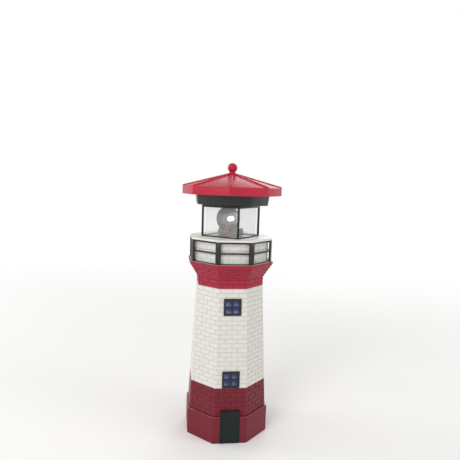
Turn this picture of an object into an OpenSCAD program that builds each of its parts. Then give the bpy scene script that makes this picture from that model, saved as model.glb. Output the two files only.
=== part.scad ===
// Garden lighthouse ornament with a solar-charged, turning beacon.
// The tower stands on its plinth at z = 0 with the door towards -Y.
// All plan shapes of the tower are regular octagons, given by their corner radius.

/* [Lower tower] */
// Corner radius of the plinth
plinth_r = 45; // [43.5:0.5:49]
// Height of the plinth
plinth_h = 28; // [20:1:34]
// Height of the small bevel on the plinth's ledge
ledge_bevel = 1.2; // [0.6:0.2:2]
// Corner radius of the tower wall where it leaves the plinth
tower_foot_r = 43; // [41:0.5:43]
// Height at which the lower red moulding ends
lower_h = 57; // [50:1:62]
// Wall thickness of the tower mouldings
wall = 2.4; // [1.8:0.2:2.8]
// Depth of the spigots that join the tower mouldings
spigot_h = 5; // [3:0.5:8]
// Wall thickness of those spigots
spigot_t = 1.6; // [1.2:0.2:2]

/* [White brick tower] */
// Height of the white section
brick_section_h = 100; // [90:1:115]
// Height of one course of bricks
course_h = 4.5; // [3.8:0.1:6]
// Length of one brick
brick_l = 12; // [9:0.5:15]
// Width of the joint between bricks
joint_w = 0.7; // [0.4:0.1:1]
// Depth of the joint between bricks
joint_d = 0.4; // [0.2:0.1:0.6]

/* [Corbel] */
// Corner radius of the neck under the gallery
neck_r = 35.8; // [34:0.1:37.5]
// Height of the plain neck
neck_h = 8.5; // [6:0.5:12]
// Height of the flared part above the neck
flare_h = 15; // [11:0.5:18]
// Courses of bricks on the flared part
flare_courses = 5; // [3:1:6]
// Corner radius of the gallery
gallery_r = 45.4; // [44.4:0.2:48]

/* [Gallery] */
// Thickness of the gallery deck
deck_t = 1.2; // [1:0.1:2]
// Corner radius of the white drum
drum_r = 39.6; // [38.8:0.2:39.8]
// Height of the drum above the deck
drum_h = 21.9; // [19:0.1:26]
// Wall thickness of the drum
drum_wall = 1.8; // [1.4:0.1:2]
// Distance from the axis to the middle of a railing post
post_ring_r = 42.1; // [41.6:0.1:42.2]
// Width of a railing post
post_w = 5; // [3.4:0.2:5.2]
// Depth of a railing post
post_d = 2.2; // [1.8:0.1:2.6]
// Height of a rail
rail_h = 1.5; // [1.2:0.1:2.4]
// Depth of a rail
rail_t = 1.5; // [1:0.1:2.4]
// Height of the railing's foot strip
foot_rail_h = 1; // [0.6:0.1:1.6]
// Height of the middle rail's centre above the deck
mid_rail_z = 10.9; // [7:0.1:14]

/* [Windows and door] */
// Width of a window frame
window_w = 17.5; // [14:0.5:20]
// Height of a window frame
window_h = 17; // [14:0.5:20]
// Distance of the upper window's centre below the white section's top
upper_window_drop = 18; // [16:1:36]
// Height of the lower window's centre above the white section's foot
lower_window_rise = 9; // [9:1:33]
// How far a window frame stands out of the wall
window_rim = 0.9; // [0.5:0.1:1.6]
// Width of the frame's border
window_border = 2; // [1.6:0.1:3]
// Width of a glazing bar
muntin_w = 1.6; // [1.2:0.1:2.4]
// Thickness of a window pane
pane_t = 0.8; // [0.6:0.1:1.2]
// Width of the door
door_w = 19.5; // [16:0.5:24]
// Height of the door's top edge
door_top = 34.5; // [31:0.5:42]
// Thickness of the door
door_t = 2; // [1.6:0.1:2.6]
// How far the door stands out of the plinth face
door_proud = 0.6; // [0.3:0.1:1.2]

/* [Top plate] */
// Corner radius of the white plate under the lantern
plate_r = 43.8; // [42:0.2:47]
// Thickness of that plate
plate_t = 2; // [1.6:0.1:3]
// Height of the rib that centres the plate in the drum
plate_rib_h = 3; // [2:0.5:5]

/* [Lantern] */
// Half the width across the lantern's square glazing
glass_half = 20.6; // [19.8:0.1:21.4]
// Wall thickness of the glazing
glass_t = 1.2; // [0.8:0.1:1.6]
// Clear height of the lantern between plate and top ring
lantern_h = 29.4; // [28.8:0.2:36]
// Height of the lantern's top ring
lantern_ring_h = 2.8; // [2.4:0.2:4]
// Thickness of the ceiling inside the top ring
ceiling_t = 1.2; // [1:0.1:1.6]
// Angle by which the lantern is turned on its plate
lantern_turn = 7; // [0:1:15]
// Width of a square lantern post
lantern_post_w = 2; // [1.6:0.1:2.6]
// Height of the lantern frame's foot ring
lantern_foot_h = 1.2; // [0.8:0.1:2]

/* [Collar and roof] */
// Corner radius of the collar at its bottom
collar_r = 38; // [36:0.1:40]
// Corner radius of the collar at its top
collar_top_r = 39.3; // [37.5:0.1:42]
// Height of the collar
collar_h = 9.8; // [8:0.2:14]
// Wall thickness of the collar
collar_wall = 2; // [1.6:0.1:2.4]
// Corner radius of the roof's eave
eave_r = 50.6; // [48:0.2:55]
// Height of the upright fascia
fascia_h = 8; // [6:0.2:11]
// Rise of the roof from the fascia to where the hips meet
roof_rise = 13.6; // [12:0.2:20]
// Angle by which the roof is turned on its collar
roof_turn = 13; // [0:1:22]
// Thickness of the roof shell
roof_t = 2; // [1.6:0.1:2.4]
// Width of a hip rib
hip_w = 3; // [2:0.1:4]
// Height of a hip rib above the roof
hip_h = 1; // [0.6:0.1:1.6]
// Radius of the finial's ball
ball_r = 4.9; // [3.5:0.1:6]
// Radius of the finial's neck
finial_neck_r = 2.9; // [2:0.1:3.4]
// Height of the ball's centre above the roof's top
ball_rise = 5.3; // [5:0.1:7]
// Depth of a solar cell's recess in the roof
cell_t = 0.9; // [0.6:0.1:1.2]

/* [Beacon] */
// Angle of the beam from the front, positive towards +X
beacon_angle = -32; // [-40:1:40]
// Radius of the turntable
turntable_r = 13.5; // [12:0.5:15]
// Thickness of the turntable
turntable_t = 2.6; // [2.6:0.2:4]
// Height of the saddle beside the reflector
saddle_h = 4; // [3:0.5:6]
// Clear space over and under the reflector
reflector_gap = 0.4; // [0.3:0.1:1.5]
// Depth of the reflector
reflector_d = 10; // [7:0.5:11]
// Distance from the axis to the reflector's mouth
mouth_y = 7.5; // [4:0.5:8]
// Radius of the lamp body
led_r = 2.5; // [1.5:0.5:3]
// Length of the lamp body
led_l = 8.6; // [6:0.2:9]
// Radius of the beacon's steel shaft
shaft_r = 1.5; // [1:0.1:2]

/* [Gears and motor] */
// Gear module
gear_module = 0.8; // [0.7:0.05:0.85]
// Teeth of the beacon's gear
gear_teeth = 36; // [32:1:38]
// Teeth of the motor's pinion
pinion_teeth = 12; // [11:1:13]
// Width of the gear's teeth
gear_w = 4; // [3:0.5:5]
// Play between the gear's teeth
backlash = 0.16; // [0.1:0.02:0.3]
// Radius of the motor's shaft
motor_shaft_r = 0.75; // [0.5:0.05:1]
// Width of the motor along Y
motor_w = 12; // [10:0.5:14]
// Thickness of the motor along X
motor_d = 10; // [8:0.5:11]
// Length of the motor's body
motor_l = 15; // [12:0.5:16]

/* [Power pack] */
// Outer radius of the pack's housing
pack_r = 28; // [27.6:0.1:28.2]
// Wall thickness of the housing
pack_wall = 1.6; // [1.2:0.1:1.8]
// Height of the gear chamber under the plate
gear_room = 8.2; // [7.6:0.1:11]
// Thickness of the floor between gears and motor
mid_floor_t = 2; // [1.6:0.1:3]
// Height of the chamber that holds motor and battery
lower_room = 23.2; // [22.8:0.2:30]
// Thickness of the pack's bottom cover
pack_cover_t = 2; // [1.6:0.1:3]
// Diameter of the battery
battery_d = 10.5; // [10:0.1:11]
// Length of the battery with its contact nub
battery_l = 44.5; // [43:0.1:44.5]
// Travel of the switch
switch_travel = 3; // [2:0.5:4]
// Thickness of the battery door
battery_door_t = 1.3; // [1:0.1:1.8]
// Radius of the battery door's hinge pin
hinge_pin_r = 0.9; // [0.7:0.05:1.2]
// Thickness of the circuit board
board_t = 1.6; // [1:0.2:2]

/* [Fits and fasteners] */
// Gap between pieces that are fitted into each other
fit_gap = 0.2; // [0.15:0.05:0.3]
// Radial play of a shaft or pin that turns in its bearing
run_gap = 0.05; // [0.02:0.01:0.08]
// Shank radius of the large screws
screw_r = 1.45; // [1.2:0.05:1.6]
// Shank radius of the small screws
small_screw_r = 0.9; // [0.7:0.05:1.1]
// Radius of a lead
lead_r = 0.55; // [0.4:0.05:0.7]

/* [Hidden] */
$fn = 96;

SIDES = 8;
HALF_SIDE = 180 / SIDES;
OVER = 1;

RED = [0.62, 0.10, 0.15];
LOWER_RED = [0.45, 0.07, 0.13];
WHITE = [0.86, 0.84, 0.80];
BLACK = [0.09, 0.085, 0.09];
PANE_BLUE = [0.16, 0.19, 0.42];
DOOR_BLACK = [0.04, 0.07, 0.07];
STEEL = [0.62, 0.63, 0.65];
BRASS = [0.78, 0.62, 0.30];
DARK_GREY = [0.17, 0.17, 0.18];

// ---- heights, from the ground up
z_lower = lower_h;
z_brick = z_lower + brick_section_h;
z_neck = z_brick + neck_h;
z_corbel = z_neck + flare_h;
z_deck = z_corbel + deck_t;
z_drum = z_deck + drum_h;
z_plate = z_drum + plate_t;
z_ring = z_plate + lantern_h;
z_ceiling = z_ring + lantern_ring_h - ceiling_t;
z_collar = z_ring + lantern_ring_h;
z_eave = z_collar + collar_h;
z_fascia = z_eave + fascia_h;
z_hips = z_fascia + roof_rise;
z_ball = z_hips + ball_rise;
upper_window_z = z_brick - upper_window_drop;
lower_window_z = z_lower + lower_window_rise;
z_mid_top = z_drum - gear_room;
z_mid = z_mid_top - mid_floor_t;
z_pack_cover = z_mid - lower_room;
z_pack_bottom = z_pack_cover - pack_cover_t;

// ---- octagons
// Corner radius of an octagon whose faces lie t further in
function inset(r, t) = r - t / cos(HALF_SIDE);
// Distance from the axis to the faces of an octagon with corner radius r
function apothem(r) = r * cos(HALF_SIDE);
// Corner radius of the tower wall at height z
tower_slope = (neck_r - tower_foot_r) / (z_brick - plinth_h);
function tower_r(z) = tower_foot_r + tower_slope * (z - plinth_h);
// Lean of the tower's faces from the upright
tower_lean = -atan(tower_slope * cos(HALF_SIDE));

module octagon(r) rotate(HALF_SIDE) circle(r = r, $fn = SIDES);
module oct_prism(r, h) linear_extrude(h) octagon(r);
module oct_taper(r1, r2, h) rotate(HALF_SIDE) cylinder(r1 = r1, r2 = r2, h = h, $fn = SIDES);
module at_z(z) translate([0, 0, z]) children();
module oct_ring(r, t, h) linear_extrude(h) difference() {
    octagon(r);
    octagon(inset(r, t));
}
module tube_ring(r_out, r_in, h) linear_extrude(h) difference() {
    circle(r_out);
    circle(r_in);
}

// ---- brick joints cut into a wall whose corner radius runs from r0 at z0 to r1 at z1
// The level joints are grooves all the way round; the upright ones are cut face by face,
// a little less deep, and shift by half a brick from course to course.
UPRIGHT_DEPTH = 0.75;
// How far past the middle of a level joint the upright ones stop
joint_stop = joint_w * 0.2;
module level_joints(z0, z1, r0, r1, courses) {
    pitch = (z1 - z0) / courses;
    for (k = [1 : courses - 1]) {
        low = k * pitch - joint_w / 2;
        high = low + joint_w;
        r_low = r0 + (r1 - r0) * low / (z1 - z0);
        r_high = r0 + (r1 - r0) * high / (z1 - z0);
        at_z(z0 + low) linear_extrude(joint_w) difference() {
            octagon(max(r0, r1) + OVER);
            octagon(inset(min(r_low, r_high), joint_d));
        }
    }
}
module upright_joints(z0, z1, r0, r1, courses, phase, ends) {
    lean = -atan((r1 - r0) * cos(HALF_SIDE) / (z1 - z0));
    pitch = (z1 - z0) / courses / cos(lean);
    bricks = ceil(max(r0, r1) * sin(HALF_SIDE) / brick_l) + 1;
    translate([0, -apothem(r0), z0]) rotate([90 - lean, 0, 0]) at_z(-joint_d * UPRIGHT_DEPTH)
        linear_extrude(joint_d + OVER) for (k = [0 : courses - 1]) for (i = [-bricks : bricks]) {
            x = (i + ((k + phase) % 2) / 2) * brick_l;
            half_face = (r0 + (r1 - r0) * k / courses) * sin(HALF_SIDE);
            foot = k * pitch + (k == 0 ? -ends[0] : joint_stop);
            head = (k + 1) * pitch + (k == courses - 1 ? ends[1] : -joint_stop);
            if (abs(x) < min(half_face, half_face + (r1 - r0) / courses * sin(HALF_SIDE)) - 2 * joint_w)
                translate([x - joint_w / 2, foot]) square([joint_w, head - foot]);
        }
}
// ends: how far the upright joints run past the foot and the head of the wall
module brick_joints(z0, z1, r0, r1, courses, ends, phase = 0) {
    level_joints(z0, z1, r0, r1, courses);
    for (k = [0 : SIDES - 1]) rotate(k * 360 / SIDES)
        upright_joints(z0, z1, r0, r1, courses, phase + k, ends);
}
function courses_in(h) = max(1, round(h / course_h));

// ---- a round lead swept along its points
LEAD_SIDES = 8;
function unit(v) = v / norm(v);
function ahead(path, i) = i == 0 ? unit(path[1] - path[0])
    : i == len(path) - 1 ? unit(path[i] - path[i - 1]) : unit(path[i + 1] - path[i - 1]);
module lead(path, r, side) {
    rings = [for (i = [0 : len(path) - 1])
        let (t = ahead(path, i), u = unit(cross(side, t)), v = cross(t, u))
        for (j = [0 : LEAD_SIDES - 1])
            path[i] + r * (cos(j * 360 / LEAD_SIDES) * u + sin(j * 360 / LEAD_SIDES) * v)];
    last = (len(path) - 1) * LEAD_SIDES;
    walls = [for (i = [0 : len(path) - 2], j = [0 : LEAD_SIDES - 1])
        let (a = i * LEAD_SIDES + j, b = i * LEAD_SIDES + (j + 1) % LEAD_SIDES)
        [a, a + LEAD_SIDES, b + LEAD_SIDES, b]];
    foot = [for (j = [0 : LEAD_SIDES - 1]) j];
    head = [for (j = [LEAD_SIDES - 1 : -1 : 0]) last + j];
    polyhedron(points = rings, faces = concat(walls, [foot], [head]));
}
// A smooth line from a to d that leaves along a-b and arrives along c-d, both square to their ends
CURVE_STEPS = 10;
END_STRAIGHT = 0.4;
function bezier(a, b, c, d, t) =
    pow(1 - t, 3) * a + 3 * t * pow(1 - t, 2) * b + 3 * t * t * (1 - t) * c + pow(t, 3) * d;
function curve(a, b, c, d) =
    let (from = a + END_STRAIGHT * unit(b - a), to = d + END_STRAIGHT * unit(c - d))
    concat([a], [for (i = [0 : CURVE_STEPS]) bezier(from, b, c, to, i / CURVE_STEPS)], [d]);

// ---- screws point up from their seat at the head's underside
module screw(r, length, head_r, head_h) {
    at_z(-head_h) cylinder(r = head_r, h = head_h);
    at_z(-OVER / 4) cylinder(r = r, h = length + OVER / 4);
}

// ================= tower =================
// The bottom cover's screws stand at four of the plinth's corners
cover_screw_ring = inset(plinth_r, wall) - 6;
base_boss_r = screw_r + 2;
base_boss_h = 14;
bottom_cover_t = 2.4;
cover_recess = 0.6;
head_h = 1.2;
module at_cover_screws()
    for (k = [0 : 3]) rotate(HALF_SIDE + k * 90) translate([cover_screw_ring, 0, 0]) children();

door_face = apothem(plinth_r) + door_proud;
door_back = door_face - door_t;
door_foot = 0.5;
door_peg_r = 1.2;
door_peg_l = 2.6;
door_peg_zs = [door_top * 0.3, door_top * 0.7];

module door_pegs(r, reach)
    for (z = door_peg_zs) for (s = [-1, 1])
        translate([s * door_w / 4, -door_back, z]) rotate([-90, 0, 0]) cylinder(r = r, h = reach);

module lower_tower() color(LOWER_RED) difference() {
    union() {
        oct_prism(plinth_r, plinth_h - ledge_bevel);
        at_z(plinth_h - ledge_bevel)
            oct_taper(plinth_r, inset(plinth_r, ledge_bevel / 2), ledge_bevel);
        at_z(plinth_h - ledge_bevel)
            oct_taper(tower_r(plinth_h - ledge_bevel), tower_r(z_lower), z_lower - plinth_h + ledge_bevel);
    }
    difference() {
        union() {
            at_z(-OVER) oct_prism(inset(plinth_r, wall), plinth_h - wall + OVER);
            at_z(plinth_h - wall - OVER) oct_taper(inset(tower_r(plinth_h - wall - OVER), wall),
                inset(tower_r(z_lower + OVER), wall), z_lower - plinth_h + wall + 2 * OVER);
        }
        at_z(cover_recess + bottom_cover_t) at_cover_screws() {
            cylinder(r = base_boss_r, h = base_boss_h);
            translate([0, -spigot_t / 2, 0]) cube([8, spigot_t, base_boss_h]);
        }
    }
    at_cover_screws() cylinder(r = screw_r + run_gap, h = base_boss_h);
    translate([-door_w / 2 - fit_gap, -door_face - OVER, door_foot - fit_gap])
        cube([door_w + 2 * fit_gap, door_face - door_back + OVER, door_top - door_foot + 2 * fit_gap]);
    door_pegs(door_peg_r + fit_gap, door_peg_l + 2 * OVER);
    brick_joints(plinth_h, z_lower, tower_r(plinth_h), tower_r(z_lower),
        courses_in(z_lower - plinth_h), [0, OVER]);
}

module window_place(z) translate([0, -apothem(tower_r(z)), z]) rotate([-tower_lean, 0, 0]) children();
// Behind the frame a sleeve reaches through the wall
window_sleeve = wall + 0.4;
sleeve_w = window_w - window_border;
sleeve_h = window_h - window_border;
sleeve_t = 1;
module window_hole(z) window_place(z)
    translate([-sleeve_w / 2 - fit_gap, -OVER, -sleeve_h / 2 - fit_gap])
        cube([sleeve_w + 2 * fit_gap, wall + 3 * OVER, sleeve_h + 2 * fit_gap]);
module window_seat(z) window_place(z)
    translate([-window_w / 2 - fit_gap / 2, -OVER, -window_h / 2 - fit_gap / 2])
        cube([window_w + fit_gap, OVER + seat_d, window_h + fit_gap]);
// A window frame is let into the wall a little deeper than the joints
seat_d = joint_d + 0.15;

// Every upper moulding plugs into the one below: under its bottom edge at z hangs a spigot,
// and inside it a shoulder carries that spigot
shoulder_h = 2.4;
spigot_in = wall + fit_gap;
bore_in = spigot_in + spigot_t;
module spigot(z) at_z(z - spigot_h) oct_taper(inset(tower_r(z - spigot_h), spigot_in),
    inset(tower_r(z + OVER), spigot_in), spigot_h + OVER);
module spigot_bore(z) at_z(z - spigot_h - OVER) oct_taper(inset(tower_r(z - spigot_h - OVER), bore_in),
    inset(tower_r(z + shoulder_h + OVER), bore_in), spigot_h + shoulder_h + 2 * OVER);

module brick_tower() color(WHITE) difference() {
    union() {
        at_z(z_lower) oct_taper(tower_r(z_lower), tower_r(z_brick), brick_section_h);
        spigot(z_lower);
    }
    spigot_bore(z_lower);
    at_z(z_lower + shoulder_h) oct_taper(inset(tower_r(z_lower + shoulder_h), wall),
        inset(tower_r(z_brick + OVER), wall), brick_section_h - shoulder_h + OVER);
    window_hole(upper_window_z);
    window_hole(lower_window_z);
    brick_joints(z_lower, z_brick, tower_r(z_lower), tower_r(z_brick),
        courses_in(brick_section_h), [OVER, OVER], 1);
    window_seat(upper_window_z);
    window_seat(lower_window_z);
}

// The flare ends in a plain rim that stands up round the gallery's deck
rim_h = 0.8;
rim_t = 0.8;
rim_proud = 0.4;
flare_top_r = gallery_r - rim_proud;
flare_out = (flare_top_r - neck_r) / (flare_h - rim_h);
flare_in = wall + 1;
flare_slope = (inset(gallery_r, flare_in) - inset(neck_r, wall)) / flare_h;
module corbel() color(RED) difference() {
    union() {
        at_z(z_brick) oct_prism(neck_r, neck_h);
        at_z(z_neck) oct_taper(neck_r, flare_top_r + flare_out * rim_h / 2, flare_h - rim_h / 2);
        at_z(z_corbel - rim_h) oct_prism(gallery_r, rim_h + deck_t);
        spigot(z_brick);
    }
    spigot_bore(z_brick);
    at_z(z_brick + shoulder_h) oct_prism(inset(neck_r, wall), neck_h - shoulder_h + OVER);
    at_z(z_neck) oct_taper(inset(neck_r, wall), inset(gallery_r, flare_in) + OVER * flare_slope,
        flare_h + OVER);
    at_z(z_corbel) oct_prism(inset(gallery_r, rim_t), deck_t + OVER);
    brick_joints(z_brick, z_neck, neck_r, neck_r, courses_in(neck_h), [OVER, -joint_stop]);
    brick_joints(z_neck, z_corbel - rim_h, neck_r, flare_top_r, flare_courses, [-joint_stop, -joint_stop], 1);
}

// ================= gallery =================
drum_key_h = 2.6;
drum_key_r = inset(gallery_r, flare_in) - drum_key_h;
module gallery_drum() color(WHITE) difference() {
    union() {
        at_z(z_corbel) oct_prism(inset(gallery_r, rim_t + fit_gap), deck_t);
        at_z(z_corbel) oct_prism(drum_r, deck_t + drum_h);
        at_z(z_corbel - drum_key_h) oct_prism(drum_key_r, drum_key_h);
    }
    at_z(z_corbel - drum_key_h - OVER)
        oct_prism(inset(drum_r, drum_wall), drum_key_h + deck_t + drum_h + 2 * OVER);
    brick_joints(z_deck, z_drum, drum_r, drum_r, courses_in(drum_h), [0, OVER]);
}

module rail(z, h) at_z(z) oct_ring(post_ring_r + rail_t / 2, rail_t, h);
railing_top = z_drum - fit_gap;
module railing() color(BLACK) {
    for (k = [0 : SIDES - 1]) rotate(HALF_SIDE + k * 45)
        translate([post_ring_r - post_d / 2, -post_w / 2, z_deck])
            cube([post_d, post_w, railing_top - z_deck]);
    rail(z_deck, foot_rail_h);
    rail(z_deck + mid_rail_z - rail_h / 2, rail_h);
    rail(railing_top - rail_h, rail_h);
}

// ================= windows and door =================
module frame_bars(y0, depth) {
    opening_w = window_w - 2 * window_border;
    opening_h = window_h - 2 * window_border;
    translate([0, y0 + depth, 0]) rotate([90, 0, 0]) linear_extrude(depth) difference() {
        square([window_w, window_h], center = true);
        for (sx = [-1, 1]) for (sz = [-1, 1])
            translate([sx * (opening_w + muntin_w) / 4, sz * (opening_h + muntin_w) / 4])
                square([(opening_w - muntin_w) / 2, (opening_h - muntin_w) / 2], center = true);
    }
}
module window_frame(z) color(BLACK) window_place(z) {
    frame_bars(-window_rim, window_rim + seat_d);
    translate([0, seat_d + window_sleeve, 0]) rotate([90, 0, 0]) linear_extrude(window_sleeve) difference() {
        square([sleeve_w, sleeve_h], center = true);
        square([sleeve_w - 2 * sleeve_t, sleeve_h - 2 * sleeve_t], center = true);
    }
}
module window_panes(z) color(PANE_BLUE) window_place(z)
    translate([0, seat_d + pane_t, 0]) rotate([90, 0, 0]) linear_extrude(pane_t)
        square([sleeve_w - 2 * sleeve_t - fit_gap, sleeve_h - 2 * sleeve_t - fit_gap], center = true);

module upper_window_frame() window_frame(upper_window_z);
module lower_window_frame() window_frame(lower_window_z);
module upper_window_panes() window_panes(upper_window_z);
module lower_window_panes() window_panes(lower_window_z);

door_border = 1.4;
door_relief = 0.4;
module door() color(DOOR_BLACK) {
    difference() {
        translate([-door_w / 2, -door_face, door_foot]) cube([door_w, door_t, door_top - door_foot]);
        translate([-door_w / 2 + door_border, -door_face - OVER, door_foot - OVER])
            cube([door_w - 2 * door_border, OVER + door_relief, door_top - door_foot - door_border + OVER]);
    }
    door_pegs(door_peg_r, door_peg_l);
}

module bottom_cover() color(BLACK) at_z(cover_recess) difference() {
    oct_prism(inset(plinth_r, wall + fit_gap), bottom_cover_t);
    at_cover_screws() {
        at_z(-OVER) cylinder(r = screw_r + fit_gap, h = bottom_cover_t + 2 * OVER);
        at_z(-OVER) cylinder(r = 2 * screw_r + fit_gap, h = head_h + OVER);
    }
}
module bottom_screws() color(STEEL) at_z(cover_recess + head_h) at_cover_screws()
    screw(screw_r, base_boss_h / 2, 2 * screw_r, head_h);

// ================= lantern head: plate, lantern, collar, roof =================
bush_r = 3.5;
bush_flange_r = 5;
bush_flange_h = 0.8;
bush_l = 4;
solar_lead_y = glass_half * sqrt(2) - 5;
lead_hole_r = 2;
plate_rib_t = 1.1;
brush_x = -17;
brush_ys = [2.4, -2.4];
brush_w = 2;
brush_slot = 1;
// Screws that hold the pack's housing to the plate
plate_boss_ring = 23.4;
plate_boss_r = small_screw_r + 1.7;
module at_plate_bosses()
    for (a = [30, 150, 270]) rotate(a) translate([plate_boss_ring, 0, 0]) children();
// Screws from below through plate and ceiling corners into the lantern frame
lantern_r = glass_half * sqrt(2);
chamfer = 0.9;
post_mid_r = lantern_r - chamfer + fit_gap + lantern_post_w / 2;

module square_plan(half, cut) intersection() {
    square(2 * half, center = true);
    rotate(45) square(2 * (half * sqrt(2) - cut), center = true);
}
module lantern_plan(half, cut) rotate(45 + lantern_turn) square_plan(half, cut);
// Hole for the solar leads through a floor of thickness t at height z, in the lantern's rear corner
module lead_hole(z, t) rotate(lantern_turn) translate([0, solar_lead_y, z - OVER])
    cylinder(r = lead_hole_r, h = t + 2 * OVER);

module top_plate() color(WHITE) difference() {
    union() {
        at_z(z_drum) oct_prism(plate_r, plate_t);
        at_z(z_drum - plate_rib_h)
            oct_ring(inset(drum_r, drum_wall + fit_gap), plate_rib_t, plate_rib_h);
        at_z(z_mid_top) at_plate_bosses() cylinder(r = plate_boss_r, h = gear_room + OVER / 2);
    }
    at_z(z_drum - OVER) cylinder(r = bush_r + run_gap, h = plate_t + 2 * OVER);
    at_z(z_mid_top - OVER) at_plate_bosses()
        cylinder(r = small_screw_r + run_gap, h = gear_room + OVER);
    lead_hole(z_drum, plate_t);
    for (y = brush_ys) translate([brush_x - brush_slot, y - brush_w / 2 - fit_gap, z_drum - OVER])
        cube([2 * brush_slot, brush_w + 2 * fit_gap, plate_t + 2 * OVER]);
}

ring_half = glass_half + 1.6;
// How far the glazing reaches up into the top ring
glass_bite = 0.6;
module lantern_frame() color(BLACK) {
    at_z(z_plate) linear_extrude(lantern_foot_h) difference() {
        lantern_plan(ring_half, chamfer);
        lantern_plan(glass_half + fit_gap, chamfer);
    }
    for (k = [0 : 3]) rotate(lantern_turn + k * 90)
        translate([post_mid_r - lantern_post_w / 2, -lantern_post_w / 2, z_plate])
            cube([lantern_post_w, lantern_post_w, lantern_h + lantern_ring_h / 2]);
    at_z(z_ring) difference() {
        linear_extrude(lantern_ring_h) lantern_plan(ring_half, chamfer);
        at_z(-OVER) linear_extrude(OVER + glass_bite + fit_gap)
            lantern_plan(glass_half + fit_gap, chamfer);
        at_z(-OVER) linear_extrude(OVER + lantern_ring_h - ceiling_t)
            lantern_plan(glass_half - glass_t - fit_gap, chamfer);
        lead_hole(0, lantern_ring_h);
        at_collar_screws() cylinder(r = small_screw_r + run_gap, h = 2 * lantern_ring_h);
    }
}
module lantern_glazing() color([0.9, 0.93, 0.95, 0.3]) at_z(z_plate)
    linear_extrude(lantern_h + glass_bite) difference() {
        lantern_plan(glass_half, chamfer);
        lantern_plan(glass_half - glass_t, chamfer * 0.6);
    }

collar_floor_t = 1.8;
plug_r = apothem(inset(collar_r, collar_wall)) - fit_gap;
plug_t = 1.8;
plug_depth = 4;
module at_collar_screws()
    for (k = [0 : 3]) rotate(lantern_turn + 45 + k * 90) translate([glass_half - 3, 0, 0]) children();
module collar() color(BLACK) difference() {
    at_z(z_collar) oct_taper(collar_r, collar_top_r, collar_h);
    at_z(z_collar + collar_floor_t) oct_taper(inset(collar_r, collar_wall),
        inset(collar_top_r, collar_wall), collar_h);
    lead_hole(z_collar, collar_floor_t);
    at_z(z_collar - OVER) at_collar_screws() cylinder(r = small_screw_r + run_gap, h = 4 * OVER);
}
// These screws go down through the collar's floor into the ceiling
module collar_screws() color(STEEL) at_z(z_collar + collar_floor_t) at_collar_screws()
    mirror([0, 0, 1]) screw(small_screw_r, collar_floor_t + ceiling_t - fit_gap, 2 * small_screw_r, 1);

// Roof: slope of the faces, and of the hips along the corners
face_slope = atan(roof_rise / apothem(eave_r));
hip_slope = atan(roof_rise / eave_r);
hip_length = eave_r / cos(hip_slope);
module roof_solid() {
    at_z(z_eave) oct_prism(eave_r, fascia_h);
    at_z(z_fascia) oct_taper(eave_r, 0, roof_rise);
}
module hip_ribs() intersection() {
    for (k = [0 : SIDES - 1]) rotate(HALF_SIDE + k * 45) at_z(z_hips) rotate([0, 90 + hip_slope, 0])
        linear_extrude(hip_length + hip_w) polygon([
            [hip_h + 0.6, -hip_w / 2], [-hip_h * 0.4, -hip_w / 2], [-hip_h, -hip_w / 4],
            [-hip_h, hip_w / 4], [-hip_h * 0.4, hip_w / 2], [hip_h + 0.6, hip_w / 2]]);
    at_z(z_fascia - 2) oct_prism(eave_r, roof_rise + 6);
}
cell_faces = [3, 4, 5];
// Each cell reaches from cell_low to cell_high up its roof face, and keeps clear of the hips
cell_low = 6;
cell_high = 33;
cell_tip = 0.8;
cell_clear = 3;
module cell_shape(grow) {
    half_low = (apothem(eave_r) - cell_low - cell_clear) * tan(HALF_SIDE) - hip_w;
    half_high = max((apothem(eave_r) - cell_high - cell_clear) * tan(HALF_SIDE) - hip_w / 4, cell_tip);
    polygon([[-half_low - grow, cell_low - grow], [half_low + grow, cell_low - grow],
             [half_high + grow, cell_high + grow], [-half_high - grow, cell_high + grow]]);
}
module at_cells() for (k = cell_faces) rotate(k * 45)
    translate([0, -apothem(eave_r), z_fascia]) rotate([face_slope, 0, 0]) children();
module roof_cavity() {
    at_z(z_eave - OVER) oct_prism(inset(eave_r, roof_t), fascia_h + OVER - roof_t * 0.6);
    at_z(z_fascia - roof_t * 0.6 - 0.01)
        oct_taper(inset(eave_r, roof_t), 3, roof_rise * (eave_r - 5) / eave_r - roof_t * 0.6);
}
roof_rib_t = 1.4;
finial_peg_r = 1.6;
finial_foot_r = finial_neck_r + 0.6;
module roof() color(RED) rotate(roof_turn) difference() {
    union() {
        difference() {
            roof_solid();
            roof_cavity();
        }
        hip_ribs();
        intersection() {
            union() {
                at_z(z_eave - plug_depth) tube_ring(plug_r, plug_r - plug_t, plug_depth + 20);
                for (k = [0 : SIDES - 1]) rotate(HALF_SIDE + k * 45)
                    translate([plug_r - plug_t / 2, -roof_rib_t / 2, z_eave])
                        cube([eave_r - plug_r + plug_t / 2 - roof_t / 2, roof_rib_t, 20]);
            }
            union() {
                roof_solid();
                at_z(z_eave - plug_depth - OVER) oct_prism(eave_r / 2 + plug_r / 2, plug_depth + 2 * OVER);
            }
        }
        at_z(z_hips - 7) cylinder(r = finial_foot_r, h = 7);
    }
    at_cells() at_z(-cell_t) linear_extrude(cell_t + OVER) cell_shape(fit_gap / 2);
    for (k = cell_faces) rotate(k * 45) translate([0, -apothem(eave_r) + cell_high - cell_clear, z_eave])
        cylinder(r = 1, h = fascia_h + roof_rise);
    at_z(z_hips - 5) cylinder(r = finial_peg_r + run_gap, h = 5 + OVER);
    at_z(z_hips) cylinder(r = finial_foot_r + fit_gap, h = hip_h + hip_w);
}
module solar_cells() color([0.07, 0.08, 0.16]) rotate(roof_turn)
    at_cells() at_z(-cell_t) linear_extrude(cell_t) cell_shape(0);

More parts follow.
